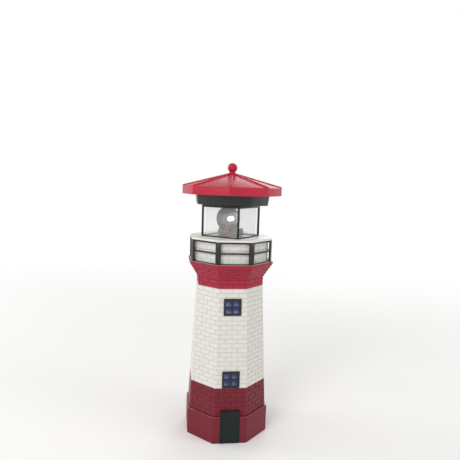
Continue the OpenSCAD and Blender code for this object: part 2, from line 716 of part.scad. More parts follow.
module finial() color(RED) {
    at_z(z_ball) sphere(ball_r);
    rotate_extrude() polygon([
        [0, z_hips], [finial_foot_r, z_hips], [finial_neck_r, z_hips + 1.1],
        [finial_neck_r - 0.4, z_ball - ball_r * 0.6], [0, z_ball - ball_r * 0.6]]);
    at_z(z_hips - 4.6) cylinder(r = finial_peg_r, h = 5);
}

// ================= beacon =================
bush_top = z_plate + bush_flange_h;
table_z = bush_top + 0.8;
table_top = table_z + turntable_t;
beam_z = (table_top + z_ceiling) / 2;
shaft_foot = z_mid_top - mid_floor_t * 0.7;
shaft_top = table_top - 0.8;
slip_ring_t = 0.3;
slip_radii = [6.4, 9.8];
slip_ring_w = 1.6;
reflector_t = 0.8;
reflector_r = (z_ceiling - table_top) / 2 - reflector_t - reflector_gap;
bowl_steps = 8;
arm_w = 8;
arm_t = 2;
arm_y = -(mouth_y - reflector_d) + reflector_t + fit_gap;

module shaft_bush() color(BRASS) difference() {
    union() {
        at_z(z_plate - bush_l) cylinder(r = bush_r, h = bush_l + bush_flange_h / 2);
        at_z(z_plate) cylinder(r = bush_flange_r, h = bush_flange_h);
    }
    at_z(z_plate - bush_l - OVER) cylinder(r = shaft_r + run_gap, h = bush_l + bush_flange_h + 2 * OVER);
}
module beacon_shaft() color(STEEL) at_z(shaft_foot) cylinder(r = shaft_r, h = shaft_top - shaft_foot);

// Bowl profile: distance from the mouth plane at radius r
function bowl(r, d) = d * (1 - pow(r / reflector_r, 2));
module beam_frame() rotate(beacon_angle) translate([0, -mouth_y, beam_z]) rotate([-90, 0, 0]) children();
module reflector() color(DARK_GREY) beam_frame() difference() {
    rotate_extrude() polygon(concat(
        [for (i = [0 : bowl_steps]) let (r = reflector_r * i / bowl_steps) [r, bowl(r, reflector_d)]],
        [[reflector_r + reflector_t, 0]],
        [for (i = [bowl_steps : -1 : 0]) let (r = reflector_r * i / bowl_steps)
            [r + reflector_t * i / bowl_steps, bowl(r, reflector_d) + reflector_t]]));
    cylinder(r = led_r + run_gap, h = 2 * reflector_d);
}
module led() color([1, 0.98, 0.94]) beam_frame() {
    at_z(reflector_d + reflector_t - led_l + led_r) cylinder(r = led_r, h = led_l - led_r);
    at_z(reflector_d + reflector_t - led_l + led_r) sphere(led_r);
}
module turntable() color(DARK_GREY) rotate(beacon_angle) difference() {
    union() {
        at_z(table_z) cylinder(r = turntable_r, h = turntable_t);
        difference() {
            at_z(table_top) cylinder(r1 = turntable_r, r2 = turntable_r - 1.5, h = saddle_h);
            at_z(beam_z) rotate([90, 0, 0])
                cylinder(r = beam_z - table_top, h = 4 * turntable_r, center = true);
        }
        at_z(bush_top + fit_gap / 2) cylinder(r = 2 * shaft_r, h = turntable_t / 2);
        translate([-arm_w / 2, arm_y, table_top - OVER]) cube([arm_w, arm_t, beam_z - table_top + OVER]);
        translate([0, arm_y + arm_t, beam_z]) rotate([90, 0, 0]) cylinder(r = arm_w / 2, h = arm_t);
    }
    at_z(bush_top) cylinder(r = shaft_r, h = shaft_top - bush_top);
    translate([0, arm_y - OVER, beam_z]) rotate([-90, 0, 0]) cylinder(r = led_r * 0.7, h = arm_t + 2 * OVER);
    for (s = [-1, 1]) translate([s * lead_gap, -lead_foot_y, table_z - OVER])
        cylinder(r = lead_r + fit_gap, h = turntable_t + 2 * OVER);
}
lead_gap = 1.2;
lead_foot_y = 9.6;
module led_leads() rotate(beacon_angle) for (s = [-1, 1]) pair_color(s)
    lead(curve([s * lead_gap, -lead_foot_y, table_z + 0.2], [s * lead_gap, -lead_foot_y, table_top + 3],
        [s * lead_gap, -lead_foot_y - 1, beam_z - 6],
        [s * lead_gap, -mouth_y + 3, beam_z - led_r - lead_r - lead_end]),
        lead_r, [1, 0, 0]);
module slip_rings() color(BRASS) for (r = slip_radii) at_z(table_z - slip_ring_t)
    tube_ring(r + slip_ring_w / 2, r - slip_ring_w / 2, slip_ring_t);
brush_t = 0.3;
brush_gap = 0.3;
brush_foot = z_drum - 4;
module contact_brushes() color(BRASS) for (i = [0, 1]) {
    tip = -slip_radii[i];
    top = table_z - slip_ring_t - brush_gap;
    translate([0, brush_ys[i] + brush_w / 2, 0]) rotate([90, 0, 0]) linear_extrude(brush_w) polygon([
        [brush_x - brush_t / 2, brush_foot], [brush_x + brush_t / 2, brush_foot],
        [brush_x + brush_t / 2, z_plate + 0.2], [tip - 1, top - brush_t], [tip + 1, top - brush_t - 0.1],
        [tip + 1, top - 0.1], [tip - 1, top], [brush_x - brush_t / 2, z_plate + 0.2 + brush_t]]);
}

// ---- involute gears
PRESSURE = 20;
TOOTH_TOP = 0.9;
TOOTH_ROOT = 1.2;
FLANK_STEPS = 4;
function inv(a) = tan(a) * 180 / PI - a;
function flank_angle(teeth, r) =
    let (pitch = gear_module * teeth / 2, base = pitch * cos(PRESSURE),
         half = 90 / teeth - backlash / 2 / pitch * 90 / PI)
    half + inv(PRESSURE) - inv(r > base ? acos(base / r) : 0);
function gear_points(teeth) =
    let (pitch = gear_module * teeth / 2, tip = pitch + TOOTH_TOP * gear_module,
         root = pitch - TOOTH_ROOT * gear_module,
         base = max(pitch * cos(PRESSURE), root))
    [for (k = [0 : teeth - 1]) let (mid = k * 360 / teeth) each concat(
        [root * [cos(mid - flank_angle(teeth, base)), sin(mid - flank_angle(teeth, base))]],
        [for (i = [1 : FLANK_STEPS]) let (r = base + (tip - base) * i / FLANK_STEPS, a = flank_angle(teeth, r))
            r * [cos(mid - a), sin(mid - a)]],
        [for (i = [FLANK_STEPS : -1 : 1]) let (r = base + (tip - base) * i / FLANK_STEPS, a = flank_angle(teeth, r))
            r * [cos(mid + a), sin(mid + a)]],
        [root * [cos(mid + flank_angle(teeth, base)), sin(mid + flank_angle(teeth, base))]])];
gear_x = gear_module * (gear_teeth + pinion_teeth) / 2;
gear_z = z_mid_top + 1;
// The pinion's gap faces the gear's tooth at angle 0
pinion_phase = 180 + 180 / pinion_teeth;
gear_phase = 0;
module drive_gear() color([0.85, 0.83, 0.75]) at_z(gear_z) difference() {
    union() {
        linear_extrude(gear_w) rotate(gear_phase) polygon(gear_points(gear_teeth));
        cylinder(r = 2 * shaft_r + 1, h = gear_w + 0.3);
    }
    at_z(-OVER) cylinder(r = shaft_r, h = gear_w + 3 * OVER);
    for (k = [0 : 5]) rotate(30 + k * 60) translate([gear_module * gear_teeth / 3.7, 0, -OVER])
        cylinder(r = 2.2, h = gear_w + 2 * OVER);
}
module drive_pinion() color([0.85, 0.83, 0.75]) translate([gear_x, 0, gear_z]) difference() {
    rotate(pinion_phase) linear_extrude(gear_w) polygon(gear_points(pinion_teeth));
    at_z(-OVER) cylinder(r = motor_shaft_r, h = gear_w + 2 * OVER);
}
motor_boss_r = 2;
motor_boss_h = 1;
motor_end_t = 3;
module motor_shaft() color(STEEL) translate([gear_x, 0, z_mid - motor_l + motor_end_t])
    cylinder(r = motor_shaft_r, h = gear_z + gear_w - z_mid + motor_l - motor_end_t);
module motor() color(STEEL) translate([gear_x, 0, z_mid]) difference() {
    union() {
        at_z(-motor_l) linear_extrude(motor_l) intersection() {
            square([motor_d, motor_w], center = true);
            circle(r = motor_w / 2 + 0.01);
        }
        cylinder(r = motor_boss_r, h = motor_boss_h);
    }
    at_z(-motor_l + motor_end_t - fit_gap) cylinder(r = motor_shaft_r + run_gap, h = motor_l);
}

// ================= power pack =================
cover_boss_x = 14.5;
cover_boss_y = 17.5;
boss_t = 1.6;
cover_boss_r = small_screw_r + boss_t;
cover_screw_l = 6;
module at_cover_bosses() for (sx = [-1, 1]) for (sy = [-1, 1])
    translate([sx * cover_boss_x, sy * cover_boss_y, 0]) children();
// Battery box on the pack's cover, open downwards
box_wall = 0.8;
battery_gap = 0.35;
box_half_w = battery_d / 2 + battery_gap + box_wall;
box_half_l = 25.2;
battery_z = z_pack_cover + battery_d / 2 + battery_gap;
box_top = battery_z + battery_d / 2 + battery_gap + box_wall;
hatch_half_w = battery_d / 2 + battery_gap;
hatch_y0 = -23;
hatch_y1 = 21.4;
hinge_y = 24.6;
barrel_t = 0.7;
barrel_r = hinge_pin_r + barrel_t;
door_gap = 0.2;
hinge_z = z_pack_bottom - door_gap - barrel_r;
barrel_half = 4;
ear_t = 2.6;
switch_x = -17;
knob_w = 2.4;
knob_l = 3;
knob_out = 1.4;
slot_l = knob_l + switch_travel + 2 * fit_gap;

// The circuit board hangs from the middle floor beside the battery box
board_drop = 12.4;
board_z = z_mid - board_drop;
board_w = 14;
board_l = 28;
board_gap = 0.6;
board_x1 = -box_half_w - board_gap;
board_x0 = board_x1 - board_w;
board_screw_r = small_screw_r * 0.8;
board_screw_l = 6;
standoff_r = small_screw_r + 1.1;
standoff_in = 0.5;
standoff_x = board_w / 2 - standoff_r - standoff_in;
standoff_y = board_l / 2 - standoff_r - 5 * standoff_in;
module at_standoffs() for (s = [-1, 1])
    translate([(board_x0 + board_x1) / 2 + s * standoff_x, s * standoff_y, 0]) children();

module pack_case() color(BLACK) difference() {
    union() {
        at_z(z_pack_cover) tube_ring(pack_r, pack_r - pack_wall, z_drum - z_pack_cover);
        at_z(z_mid) cylinder(r = pack_r - pack_wall / 2, h = mid_floor_t);
        at_z(z_pack_cover) at_cover_bosses() cylinder(r = cover_boss_r, h = lower_room + mid_floor_t / 2);
        at_z(board_z + board_t) at_standoffs()
            cylinder(r = standoff_r, h = z_mid - board_z - board_t + mid_floor_t / 2);
    }
    at_z(shaft_foot - fit_gap / 2) cylinder(r = shaft_r + run_gap, h = mid_floor_t * 2);
    translate([gear_x, 0, z_mid - OVER]) cylinder(r = motor_boss_r + fit_gap, h = mid_floor_t + 2 * OVER);
    at_z(z_mid - OVER) at_plate_bosses() cylinder(r = small_screw_r + fit_gap, h = mid_floor_t + 2 * OVER);
    lead_hole(z_mid, mid_floor_t);
    translate([brush_x, 0, z_mid - OVER]) cylinder(r = brush_ys[0] + 1.2, h = mid_floor_t + 2 * OVER);
    at_z(z_pack_cover - OVER) at_cover_bosses()
        cylinder(r = small_screw_r + run_gap, h = cover_screw_l + 3 * OVER);
    at_z(board_z) at_standoffs() cylinder(r = board_screw_r + run_gap, h = board_screw_l + 2 * OVER);
}
module pack_screws() color(STEEL) at_z(z_mid) at_plate_bosses()
    screw(small_screw_r, mid_floor_t + gear_room * 0.6, 2 * small_screw_r, head_h);

module pack_cover() color(BLACK) difference() {
    union() {
        at_z(z_pack_bottom) cylinder(r = pack_r, h = pack_cover_t);
        translate([-box_half_w, -box_half_l, z_pack_bottom])
            cube([2 * box_half_w, 2 * box_half_l, box_top - z_pack_bottom]);
        for (s = [-1, 1]) {
            x = s > 0 ? barrel_half + fit_gap : -barrel_half - fit_gap - ear_t;
            translate([x, hinge_y - barrel_r, hinge_z])
                cube([ear_t, 2 * barrel_r, z_pack_bottom - hinge_z + OVER / 2]);
            translate([x, hinge_y, hinge_z]) rotate([0, 90, 0]) cylinder(r = barrel_r, h = ear_t);
        }
    }
    translate([-box_half_w + box_wall, -box_half_l + box_wall, z_pack_cover])
        cube([2 * (box_half_w - box_wall), 2 * (box_half_l - box_wall), box_top - box_wall - z_pack_cover]);
    translate([-hatch_half_w, hatch_y0, z_pack_bottom - OVER])
        cube([2 * hatch_half_w, hatch_y1 - hatch_y0, pack_cover_t + 2 * OVER]);
    translate([-barrel_half - ear_t - OVER, hinge_y, hinge_z]) rotate([0, 90, 0])
        cylinder(r = hinge_pin_r + run_gap, h = 2 * (barrel_half + ear_t + OVER));
    translate([switch_x - knob_w / 2 - fit_gap, -slot_l / 2, z_pack_bottom - OVER])
        cube([knob_w + 2 * fit_gap, slot_l, pack_cover_t + 2 * OVER]);
    at_z(z_pack_bottom - OVER) at_cover_bosses()
        cylinder(r = small_screw_r + fit_gap, h = 3 * OVER + pack_cover_t);
}
module cover_screws() color(STEEL) at_z(z_pack_bottom) at_cover_bosses()
    screw(small_screw_r, pack_cover_t + cover_screw_l, 2 * small_screw_r, head_h);

contact_t = 0.4;
contact_half_w = 4;
battery_front = -box_half_l + box_wall + contact_t + run_gap;
nub_l = 0.8;
module battery() color([0.20, 0.45, 0.30]) translate([0, battery_front, battery_z]) rotate([-90, 0, 0]) {
    at_z(nub_l) cylinder(r = battery_d / 2, h = battery_l - nub_l);
    cylinder(r = battery_d / 5.5, h = nub_l + OVER);
}
module battery_contacts() color(BRASS) for (s = [-1, 1]) {
    y = s > 0 ? box_half_l - box_wall - contact_t : -box_half_l + box_wall;
    translate([-contact_half_w, y, battery_z - contact_half_w])
        cube([2 * contact_half_w, contact_t, 2 * contact_half_w]);
}
// Tapered coil between the battery's flat end and its contact plate
spring_wire = 0.3;
spring_turns = 3;
spring_start = battery_front + battery_l + spring_wire + run_gap;
spring_end = box_half_l - box_wall - contact_t - spring_wire - run_gap;
SPRING_RINGS = 8;
module battery_spring() color(STEEL) {
    steps = spring_turns * SPRING_RINGS;
    path = [for (i = [0 : steps]) let (t = i / steps, a = t * spring_turns * 360, r = 2 + 2 * t)
        [r * cos(a), spring_start + (spring_end - spring_start) * t, battery_z + r * sin(a)]];
    lead(path, spring_wire, [0, 1, 0]);
}

switch_l = 12;
switch_w = 6;
switch_h = 5;
module switch_body() color(DARK_GREY) difference() {
    translate([switch_x - switch_w / 2, -switch_l / 2, z_pack_cover]) cube([switch_w, switch_l, switch_h]);
    translate([switch_x - knob_w / 2 - fit_gap, -slot_l / 2, z_pack_cover - OVER])
        cube([knob_w + 2 * fit_gap, slot_l, OVER + switch_h * 0.7]);
}
module switch_knob() color([0.75, 0.75, 0.73])
    translate([switch_x - knob_w / 2, -switch_travel / 2 - knob_l / 2, z_pack_bottom - knob_out])
        cube([knob_w, knob_l, pack_cover_t + knob_out + switch_h * 0.7 - fit_gap]);

// The battery door laps over the hatch's edges; its tongue ends in a ribbed finger grip
door_lap = 1.6;
tab_half_w = 4;
tab_l = 1.4;
grip_rib = 0.4;
grip_pitch = 1.6;
module battery_door() color(BLACK) {
    low = z_pack_bottom - door_gap - battery_door_t;
    edge_y = hatch_y0 - door_lap / 2;
    leaf_l = hinge_y - barrel_r - door_lap - edge_y;
    translate([-hatch_half_w - door_lap, edge_y, low])
        cube([2 * (hatch_half_w + door_lap), leaf_l, battery_door_t]);
    translate([-barrel_half + fit_gap, edge_y + leaf_l - OVER, low])
        cube([2 * (barrel_half - fit_gap), door_lap + barrel_r + OVER, battery_door_t]);
    translate([-barrel_half, hinge_y, hinge_z]) rotate([0, 90, 0]) cylinder(r = barrel_r, h = 2 * barrel_half);
    translate([-barrel_half - ear_t, hinge_y, hinge_z]) rotate([0, 90, 0])
        cylinder(r = hinge_pin_r, h = 2 * (barrel_half + ear_t));
    translate([-tab_half_w, edge_y - tab_l, low]) cube([2 * tab_half_w, tab_l + OVER, battery_door_t]);
    for (k = [0 : 2]) translate([-tab_half_w, edge_y + (k + 1) * grip_pitch, low - grip_rib])
        cube([2 * tab_half_w, grip_pitch / 2, grip_rib + OVER / 4]);
}

// Parts under the board: a flat chip, a tall capacitor and a small one
chip_w = 5;
chip_l = 4;
chip_t = 1.2;
tall_cap_r = 2.5;
tall_cap_h = 5;
small_cap_r = 1.8;
small_cap_h = 2.4;
module circuit_board() color([0.08, 0.30, 0.16]) difference() {
    union() {
        translate([board_x0, -board_l / 2, board_z]) cube([board_w, board_l, board_t]);
        translate([board_x1 - board_w / 2, -board_l / 5, board_z - chip_t])
            cube([chip_w, chip_l, chip_t + board_t / 2]);
        translate([board_x1 - board_w * 0.64, board_l / 5, board_z - tall_cap_h])
            cylinder(r = tall_cap_r, h = tall_cap_h + board_t / 2);
        translate([board_x1 - board_w * 0.25, board_l / 14, board_z - small_cap_h])
            cylinder(r = small_cap_r, h = small_cap_h + board_t / 2);
    }
    at_z(board_z - OVER) at_standoffs() cylinder(r = board_screw_r + run_gap, h = board_t + 2 * OVER);
}
module board_screws() color(STEEL) at_z(board_z) at_standoffs()
    screw(board_screw_r, board_screw_l, 2 * board_screw_r, head_h * 0.7);

// Leads lie in pairs, one red and one black
board_top = board_z + board_t;
lead_end = 0.1;
lead_bend = 6.5;
lead_rise = 2.6;
solar_lead_gap = 0.8;
motor_lead_gap = 2;
module pair_color(s) color(s > 0 ? "firebrick" : "black") children();
module solar_leads() rotate(lantern_turn) for (s = [-1, 1]) pair_color(s) {
    top = [s * solar_lead_gap, solar_lead_y, z_eave + solar_lead_gap];
    low = [s * solar_lead_gap, solar_lead_y, z_mid - solar_lead_gap];
    pad = [board_x1 - board_w * 0.4 + s * 1.2 * solar_lead_gap, board_l * 0.38, board_top + lead_end];
    lead(concat([top], curve(low, low - [0, 0, lead_bend], pad + [0, 0, lead_bend], pad)), lead_r, [1, 0, 0]);
}
// The motor's leads pass over the battery box to the board
module motor_leads() for (s = [-1, 1]) pair_color(s) {
    from = [gear_x - motor_d * 0.32, s * motor_lead_gap, z_mid - motor_l - lead_end];
    over = [box_half_w, s * motor_lead_gap, box_top + lead_rise];
    past = [-box_half_w, s * motor_lead_gap, over[2]];
    to = [board_x1 - board_w / 4, s * motor_lead_gap, board_top + lead_end];
    lead(concat(curve(from, from - [0, 0, 1.3 * lead_bend], over + [0.7 * lead_bend, 0, 0], over),
        curve(past, past - [lead_rise, 0, 0], to + [0, 0, lead_rise], to)), lead_r, [0, 1, 0]);
}
module lamp_leads() for (i = [0, 1]) pair_color(1 - 2 * i) {
    from = [brush_x, brush_ys[i], brush_foot - lead_end];
    to = [brush_x + 2, brush_ys[i], board_top + lead_end];
    lead(curve(from, from - [0, 0, 9], to + [0, 0, 5], to), lead_r, [0, 1, 0]);
}

lower_tower();
brick_tower();
corbel();
gallery_drum();
railing();
upper_window_frame();
upper_window_panes();
lower_window_frame();
lower_window_panes();
door();
bottom_cover();
bottom_screws();
top_plate();
lantern_frame();
lantern_glazing();
collar();
roof();
finial();
solar_cells();
shaft_bush();
contact_brushes();
pack_case();
pack_cover();
pack_screws();
cover_screws();
circuit_board();
board_screws();
motor();
battery();
battery_spring();
battery_contacts();
switch_body();
solar_leads();
motor_leads();
lamp_leads();
collar_screws();
turntable();
reflector();
led();
led_leads();
slip_rings();
beacon_shaft();
drive_gear();
motor_shaft();
drive_pinion();
switch_knob();
battery_door();
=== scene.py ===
# %% [markdown]
# A garden lighthouse ornament about 28 cm tall: a moulded plastic tower with brickwork,
# a railed gallery, a clear lantern with a turning lamp, and a red roof with a ball.
# The frame comes first. Every solid of the packed model is loaded at its own place. The
# pieces that are seen are then modelled by hand with softer edges and finer detail, each
# at the place of the solid that it stands for, and what lies inside gets a finish.

# %% Load the frame
import bpy, bmesh, math
from mathutils import Matrix, Vector


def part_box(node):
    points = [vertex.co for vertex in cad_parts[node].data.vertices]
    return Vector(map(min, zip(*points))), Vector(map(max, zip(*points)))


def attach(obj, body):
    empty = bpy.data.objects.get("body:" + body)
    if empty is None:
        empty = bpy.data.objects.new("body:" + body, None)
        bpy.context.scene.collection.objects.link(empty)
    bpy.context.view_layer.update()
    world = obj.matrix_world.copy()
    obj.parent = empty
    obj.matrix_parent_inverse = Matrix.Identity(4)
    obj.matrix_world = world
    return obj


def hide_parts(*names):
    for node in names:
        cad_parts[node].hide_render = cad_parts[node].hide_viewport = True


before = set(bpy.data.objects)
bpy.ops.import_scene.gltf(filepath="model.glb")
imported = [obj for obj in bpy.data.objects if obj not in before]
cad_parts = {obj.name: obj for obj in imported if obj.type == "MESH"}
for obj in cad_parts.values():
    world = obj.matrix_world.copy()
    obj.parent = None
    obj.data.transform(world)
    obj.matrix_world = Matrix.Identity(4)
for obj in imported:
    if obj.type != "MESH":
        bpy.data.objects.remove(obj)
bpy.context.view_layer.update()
MM = 0.001

# %% [markdown]
# The camera stands where the photographer stood: about half a metre in front, a little to
# the left of the door, a little higher than the lamp, looking slightly down. Its place was
# worked out from the corners of the stacked octagons, so the tower's edges fall where
# the photograph has them. The small shift only centres the tower in the frame.

# %% The camera
FRAME_PIXELS = 460
FOCAL_PIXELS = 464.2
camera_data = bpy.data.cameras.new("camera")
camera_data.sensor_width = 36
camera_data.lens = FOCAL_PIXELS / FRAME_PIXELS * camera_data.sensor_width
camera_data.shift_y = 20 / FRAME_PIXELS
camera = bpy.data.objects.new("camera", camera_data)
bpy.context.scene.collection.objects.link(camera)
camera_turn = (Matrix.Rotation(math.radians(-7.194), 4, "Z")
               @ Matrix.Rotation(math.radians(90 - 8.278), 4, "X")
               @ Matrix.Rotation(math.radians(1.762), 4, "Z"))
camera.matrix_world = Matrix.Translation(Vector((-59.6, -471.8, 259.9)) * MM) @ camera_turn
bpy.context.scene.camera = camera
bpy.context.scene.view_settings.view_transform = "Standard"
print("camera lens in mm:", round(camera_data.lens, 1))

# %% [markdown]
# The light is that of a small photo studio: one large soft panel high on the left, a
# weaker one on the right, two behind for the roof's far slopes, and a pale room all
# round. Large panels keep the shadows soft and give the smooth plastic quiet highlights.
# The floor is one big pale sheet. The room looks white to the camera and in reflections,
# but lights the object less.

# %% Lamps, room and floor
TOWER_MIDDLE = Vector((0, 0, 0.15))

def soft_panel(name, place, size, power):
    """A square area lamp that faces the middle of the tower; sizes in m, power in W."""
    data = bpy.data.lights.new(name, "AREA")
    data.size = size
    data.energy = power
    lamp = bpy.data.objects.new(name, data)
    bpy.context.scene.collection.objects.link(lamp)
    aim = TOWER_MIDDLE - Vector(place)
    lamp.matrix_world = Matrix.Translation(place) @ aim.to_track_quat("-Z", "Y").to_matrix().to_4x4()

soft_panel("panel_left", (-0.7, -0.95, 0.75), 0.7, 7.5)
soft_panel("panel_right", (0.95, -0.5, 0.5), 0.5, 2.6)
soft_panel("panel_back_left", (-1.15, 0.4, 0.45), 0.4, 3.5)
soft_panel("panel_back_right", (0.45, 1.1, 0.72), 0.8, 4.0)

def paint_room(dim, bright):
    """The world's colour: dim for light on the object, bright where it is seen."""
    world = bpy.data.worlds.new("room")
    bpy.context.scene.world = world
    world.use_nodes = True
    nodes, links = world.node_tree.nodes, world.node_tree.links
    nodes.clear()
    path = nodes.new("ShaderNodeLightPath")
    seen = path.outputs["Is Camera Ray"]
    for kind in ("Is Transmission Ray", "Is Glossy Ray"):
        either = nodes.new("ShaderNodeMath")
        either.operation = "MAXIMUM"
        links.new(seen, either.inputs[0])
        links.new(path.outputs[kind], either.inputs[1])
        seen = either.outputs[0]
    mix, out = nodes.new("ShaderNodeMixShader"), nodes.new("ShaderNodeOutputWorld")
    links.new(seen, mix.inputs[0])
    for socket, colour, strength in ((1, (1, 0.99, 0.97, 1), dim), (2, (1, 1, 1, 1), bright)):
        background = nodes.new("ShaderNodeBackground")
        background.inputs["Color"].default_value = colour
        background.inputs["Strength"].default_value = strength
        links.new(background.outputs[0], mix.inputs[socket])
    links.new(mix.outputs[0], out.inputs["Surface"])

paint_room(dim=0.6, bright=1.0)
bpy.ops.mesh.primitive_plane_add(size=6)
floor = bpy.context.object
floor.name = "floor"

# %% [markdown]
# Materials are written as sums. A Signal wraps one output of a node, so that
# 0.4 + 0.2 * grain adds the Math nodes by itself. A Finish is one material being made:
# its node() adds any node with its settings and the values or links of its sockets.

# %% Shader helpers
class Signal:
    """One node output that can be added to, multiplied and compared."""
    def __init__(self, finish, socket):
        self.finish, self.socket = finish, socket

    def math(self, operation, *others):
        return self.finish.node("ShaderNodeMath", {"operation": operation},
                                dict(enumerate((self,) + others)))

    def __add__(self, other):
        return self.math("ADD", other)

    def __radd__(self, other):
        return self.math("ADD", other)

    def __mul__(self, other):
        return self.math("MULTIPLY", other)

    def __rmul__(self, other):
        return self.math("MULTIPLY", other)

    def __sub__(self, other):
        return self.math("SUBTRACT", other)

    def __rsub__(self, other):
        return (self * -1) + other

    def __truediv__(self, other):
        return self.math("DIVIDE", other)

    def ramp(self, low, high):
        """0 under low, 1 over high and a soft step between."""
        return self.finish.node("ShaderNodeMapRange", {"interpolation_type": "SMOOTHSTEP"},
                                {"Value": self, "From Min": low, "From Max": high})


class Finish:
    """A material under construction."""
    def __init__(self, name):
        self.material = bpy.data.materials.new(name)
        self.material.use_nodes = True
        self.tree = self.material.node_tree
        self.tree.nodes.clear()
        self.place = self.node("ShaderNodeTexCoord", output="Object")

    def node(self, kind, settings=None, sockets=None, output=0):
        """Any node, with its settings and then the values or links of its sockets."""
        made = self.tree.nodes.new(kind)
        for key, value in (settings or {}).items():
            setattr(made, key, value)
        for key, value in (sockets or {}).items():
            if isinstance(value, Signal):
                self.tree.links.new(value.socket, made.inputs[key])
            elif isinstance(value, tuple) and len(value) == 3 and made.inputs[key].type == "RGBA":
                made.inputs[key].default_value = (*value, 1)
            else:
                made.inputs[key].default_value = value
        return Signal(self, made.outputs[output])

    def grain(self, scale, detail=3, roughness=0.5):
        """Noise with features about 1 / scale metres across."""
        return self.node("ShaderNodeTexNoise", {}, {"Vector": self.place, "Scale": scale,
                                                    "Detail": detail, "Roughness": roughness})

    def axes(self, vector=None):
        """A vector as three signals; by itself, the place on the surface in metres."""
        split = self.tree.nodes.new("ShaderNodeSeparateXYZ")
        self.tree.links.new((vector or self.place).socket, split.inputs[0])
        return [Signal(self, part) for part in split.outputs]

    def blend(self, factor, first, second):
        """A colour between two colours."""
        return self.node("ShaderNodeMix", {"data_type": "RGBA"}, {0: factor, 6: first, 7: second}, 2)

    def bump(self, height, strength, distance):
        """A normal that follows a height; distance in metres."""
        return self.node("ShaderNodeBump", {}, {"Height": height, "Strength": strength,
                                                "Distance": distance})

    def shade(self, **sockets):
        """Wires a Principled shader to the output and returns the finished material."""
        names = {key.replace("_", " ").title().replace("Ior", "IOR"): value
                 for key, value in sockets.items()}
        shader = self.node("ShaderNodeBsdfPrincipled", {}, names)
        out = self.tree.nodes.new("ShaderNodeOutputMaterial")
        self.tree.links.new(shader.socket, out.inputs["Surface"])
        return self.material

print("helpers ready, for signals:", [name for name in vars(Signal) if not name.startswith("_")])

# %% [markdown]
# Moulded plastic is never one flat colour. Seen close, the pigment is a little uneven,
# the surface has a faint orange peel, and the gloss changes from patch to patch. One
# function makes all the plain plastics from a colour, a gloss and how mottled it is.

# %% Plain moulded plastic
def moulded(name, colour, roughness, mottle=0.06, peel=0.024, coat=0.0, specular=0.4):
    """Plastic with uneven pigment and patches of different gloss; peel is the depth of
    its orange peel in mm."""
    finish = Finish(name)
    patches = finish.grain(55, 4)
    specks = finish.grain(900, 2)
    tint = (patches - 0.5) * 1.4 + (specks - 0.5) * 0.6
    dark = tuple(c * (1 - 3 * mottle) for c in colour)
    pale = tuple(min(1, c * (1 + 3 * mottle)) for c in colour)
    base = finish.blend(tint + 0.5, dark, pale)
    gloss = (patches - 0.5) * 0.18 + (specks - 0.5) * 0.08 + roughness
    relief = finish.bump(finish.grain(420, 2) * 0.7 + specks * 0.3, 0.5, peel * MM)
    return finish.shade(base_color=base, roughness=gloss, normal=relief,
                        coat_weight=coat, coat_roughness=0.2, specular_ior_level=specular)

black_plastic = moulded("black_plastic", (0.012, 0.0112, 0.0118), 0.3, specular=0.4)
grey_plastic = moulded("grey_plastic", (0.035, 0.034, 0.037), 0.42)
red_gloss = moulded("red_gloss", (0.42, 0.019, 0.043), 0.38, 0.04, 0.016, specular=0.2)
door_plastic = moulded("door_plastic", (0.006, 0.0105, 0.011), 0.42, specular=0.25)
white_plastic = moulded("white_plastic", (0.68, 0.666, 0.632), 0.4, 0.02)
print("plain plastics:", [m.name for m in (black_plastic, grey_plastic, red_gloss, door_plastic,
                                           white_plastic)])

# %% [markdown]
# The joints of the brickwork show as slightly darker lines. Here they are real
# grooves, so the material only has to know how deep a point lies: it folds the eight
# faces onto one, measures the distance from the axis, and compares it with the wall's own
# distance at that height. Low points get the joint's colour, high ones the brick's. The
# wall's distance comes from the heights and corner radii that the walls are modelled from.
# Only the foot has a ledge, and there the plastic gets a clear coat, because the ledge
# over the plinth catches the light and the walls don't.

# %% Brickwork
SIDES = 8
HALF_SIDE = math.pi / SIDES
COURSE_H, BRICK_L, JOINT_D = 4.5, 12, 0.4
LEDGE_Z, FOOT_Z, TOWER_Z = 28, 57, 157
NECK_Z, FLARE_Z, DECK_Z, DRUM_Z = 165.5, 179.7, 181.7, 203.6
PLINTH_R, LEDGE_R, NECK_R, FLARE_R, DRUM_R = 45, 43, 35.8, 45.0, 39.6
LEAN = (LEDGE_R - NECK_R) / (TOWER_Z - LEDGE_Z)

def tower_r(z):
    """Corner radius of the tapering tower at a height, both in mm."""
    return LEDGE_R - (z - LEDGE_Z) * LEAN

def folded(finish, turn=0.0):
    """How far out towards the nearest face a point lies, its place along it, its height."""
    x, y, z = finish.axes()
    angle = y.math("ARCTAN2", x) - turn
    turns = angle / (2 * HALF_SIDE) + 0.5
    local = (turns.math("FRACT") - 0.5) * (2 * HALF_SIDE)
    radius = (x * x + y * y).math("SQRT")
    return radius * local.math("COSINE"), radius * local.math("SINE"), z

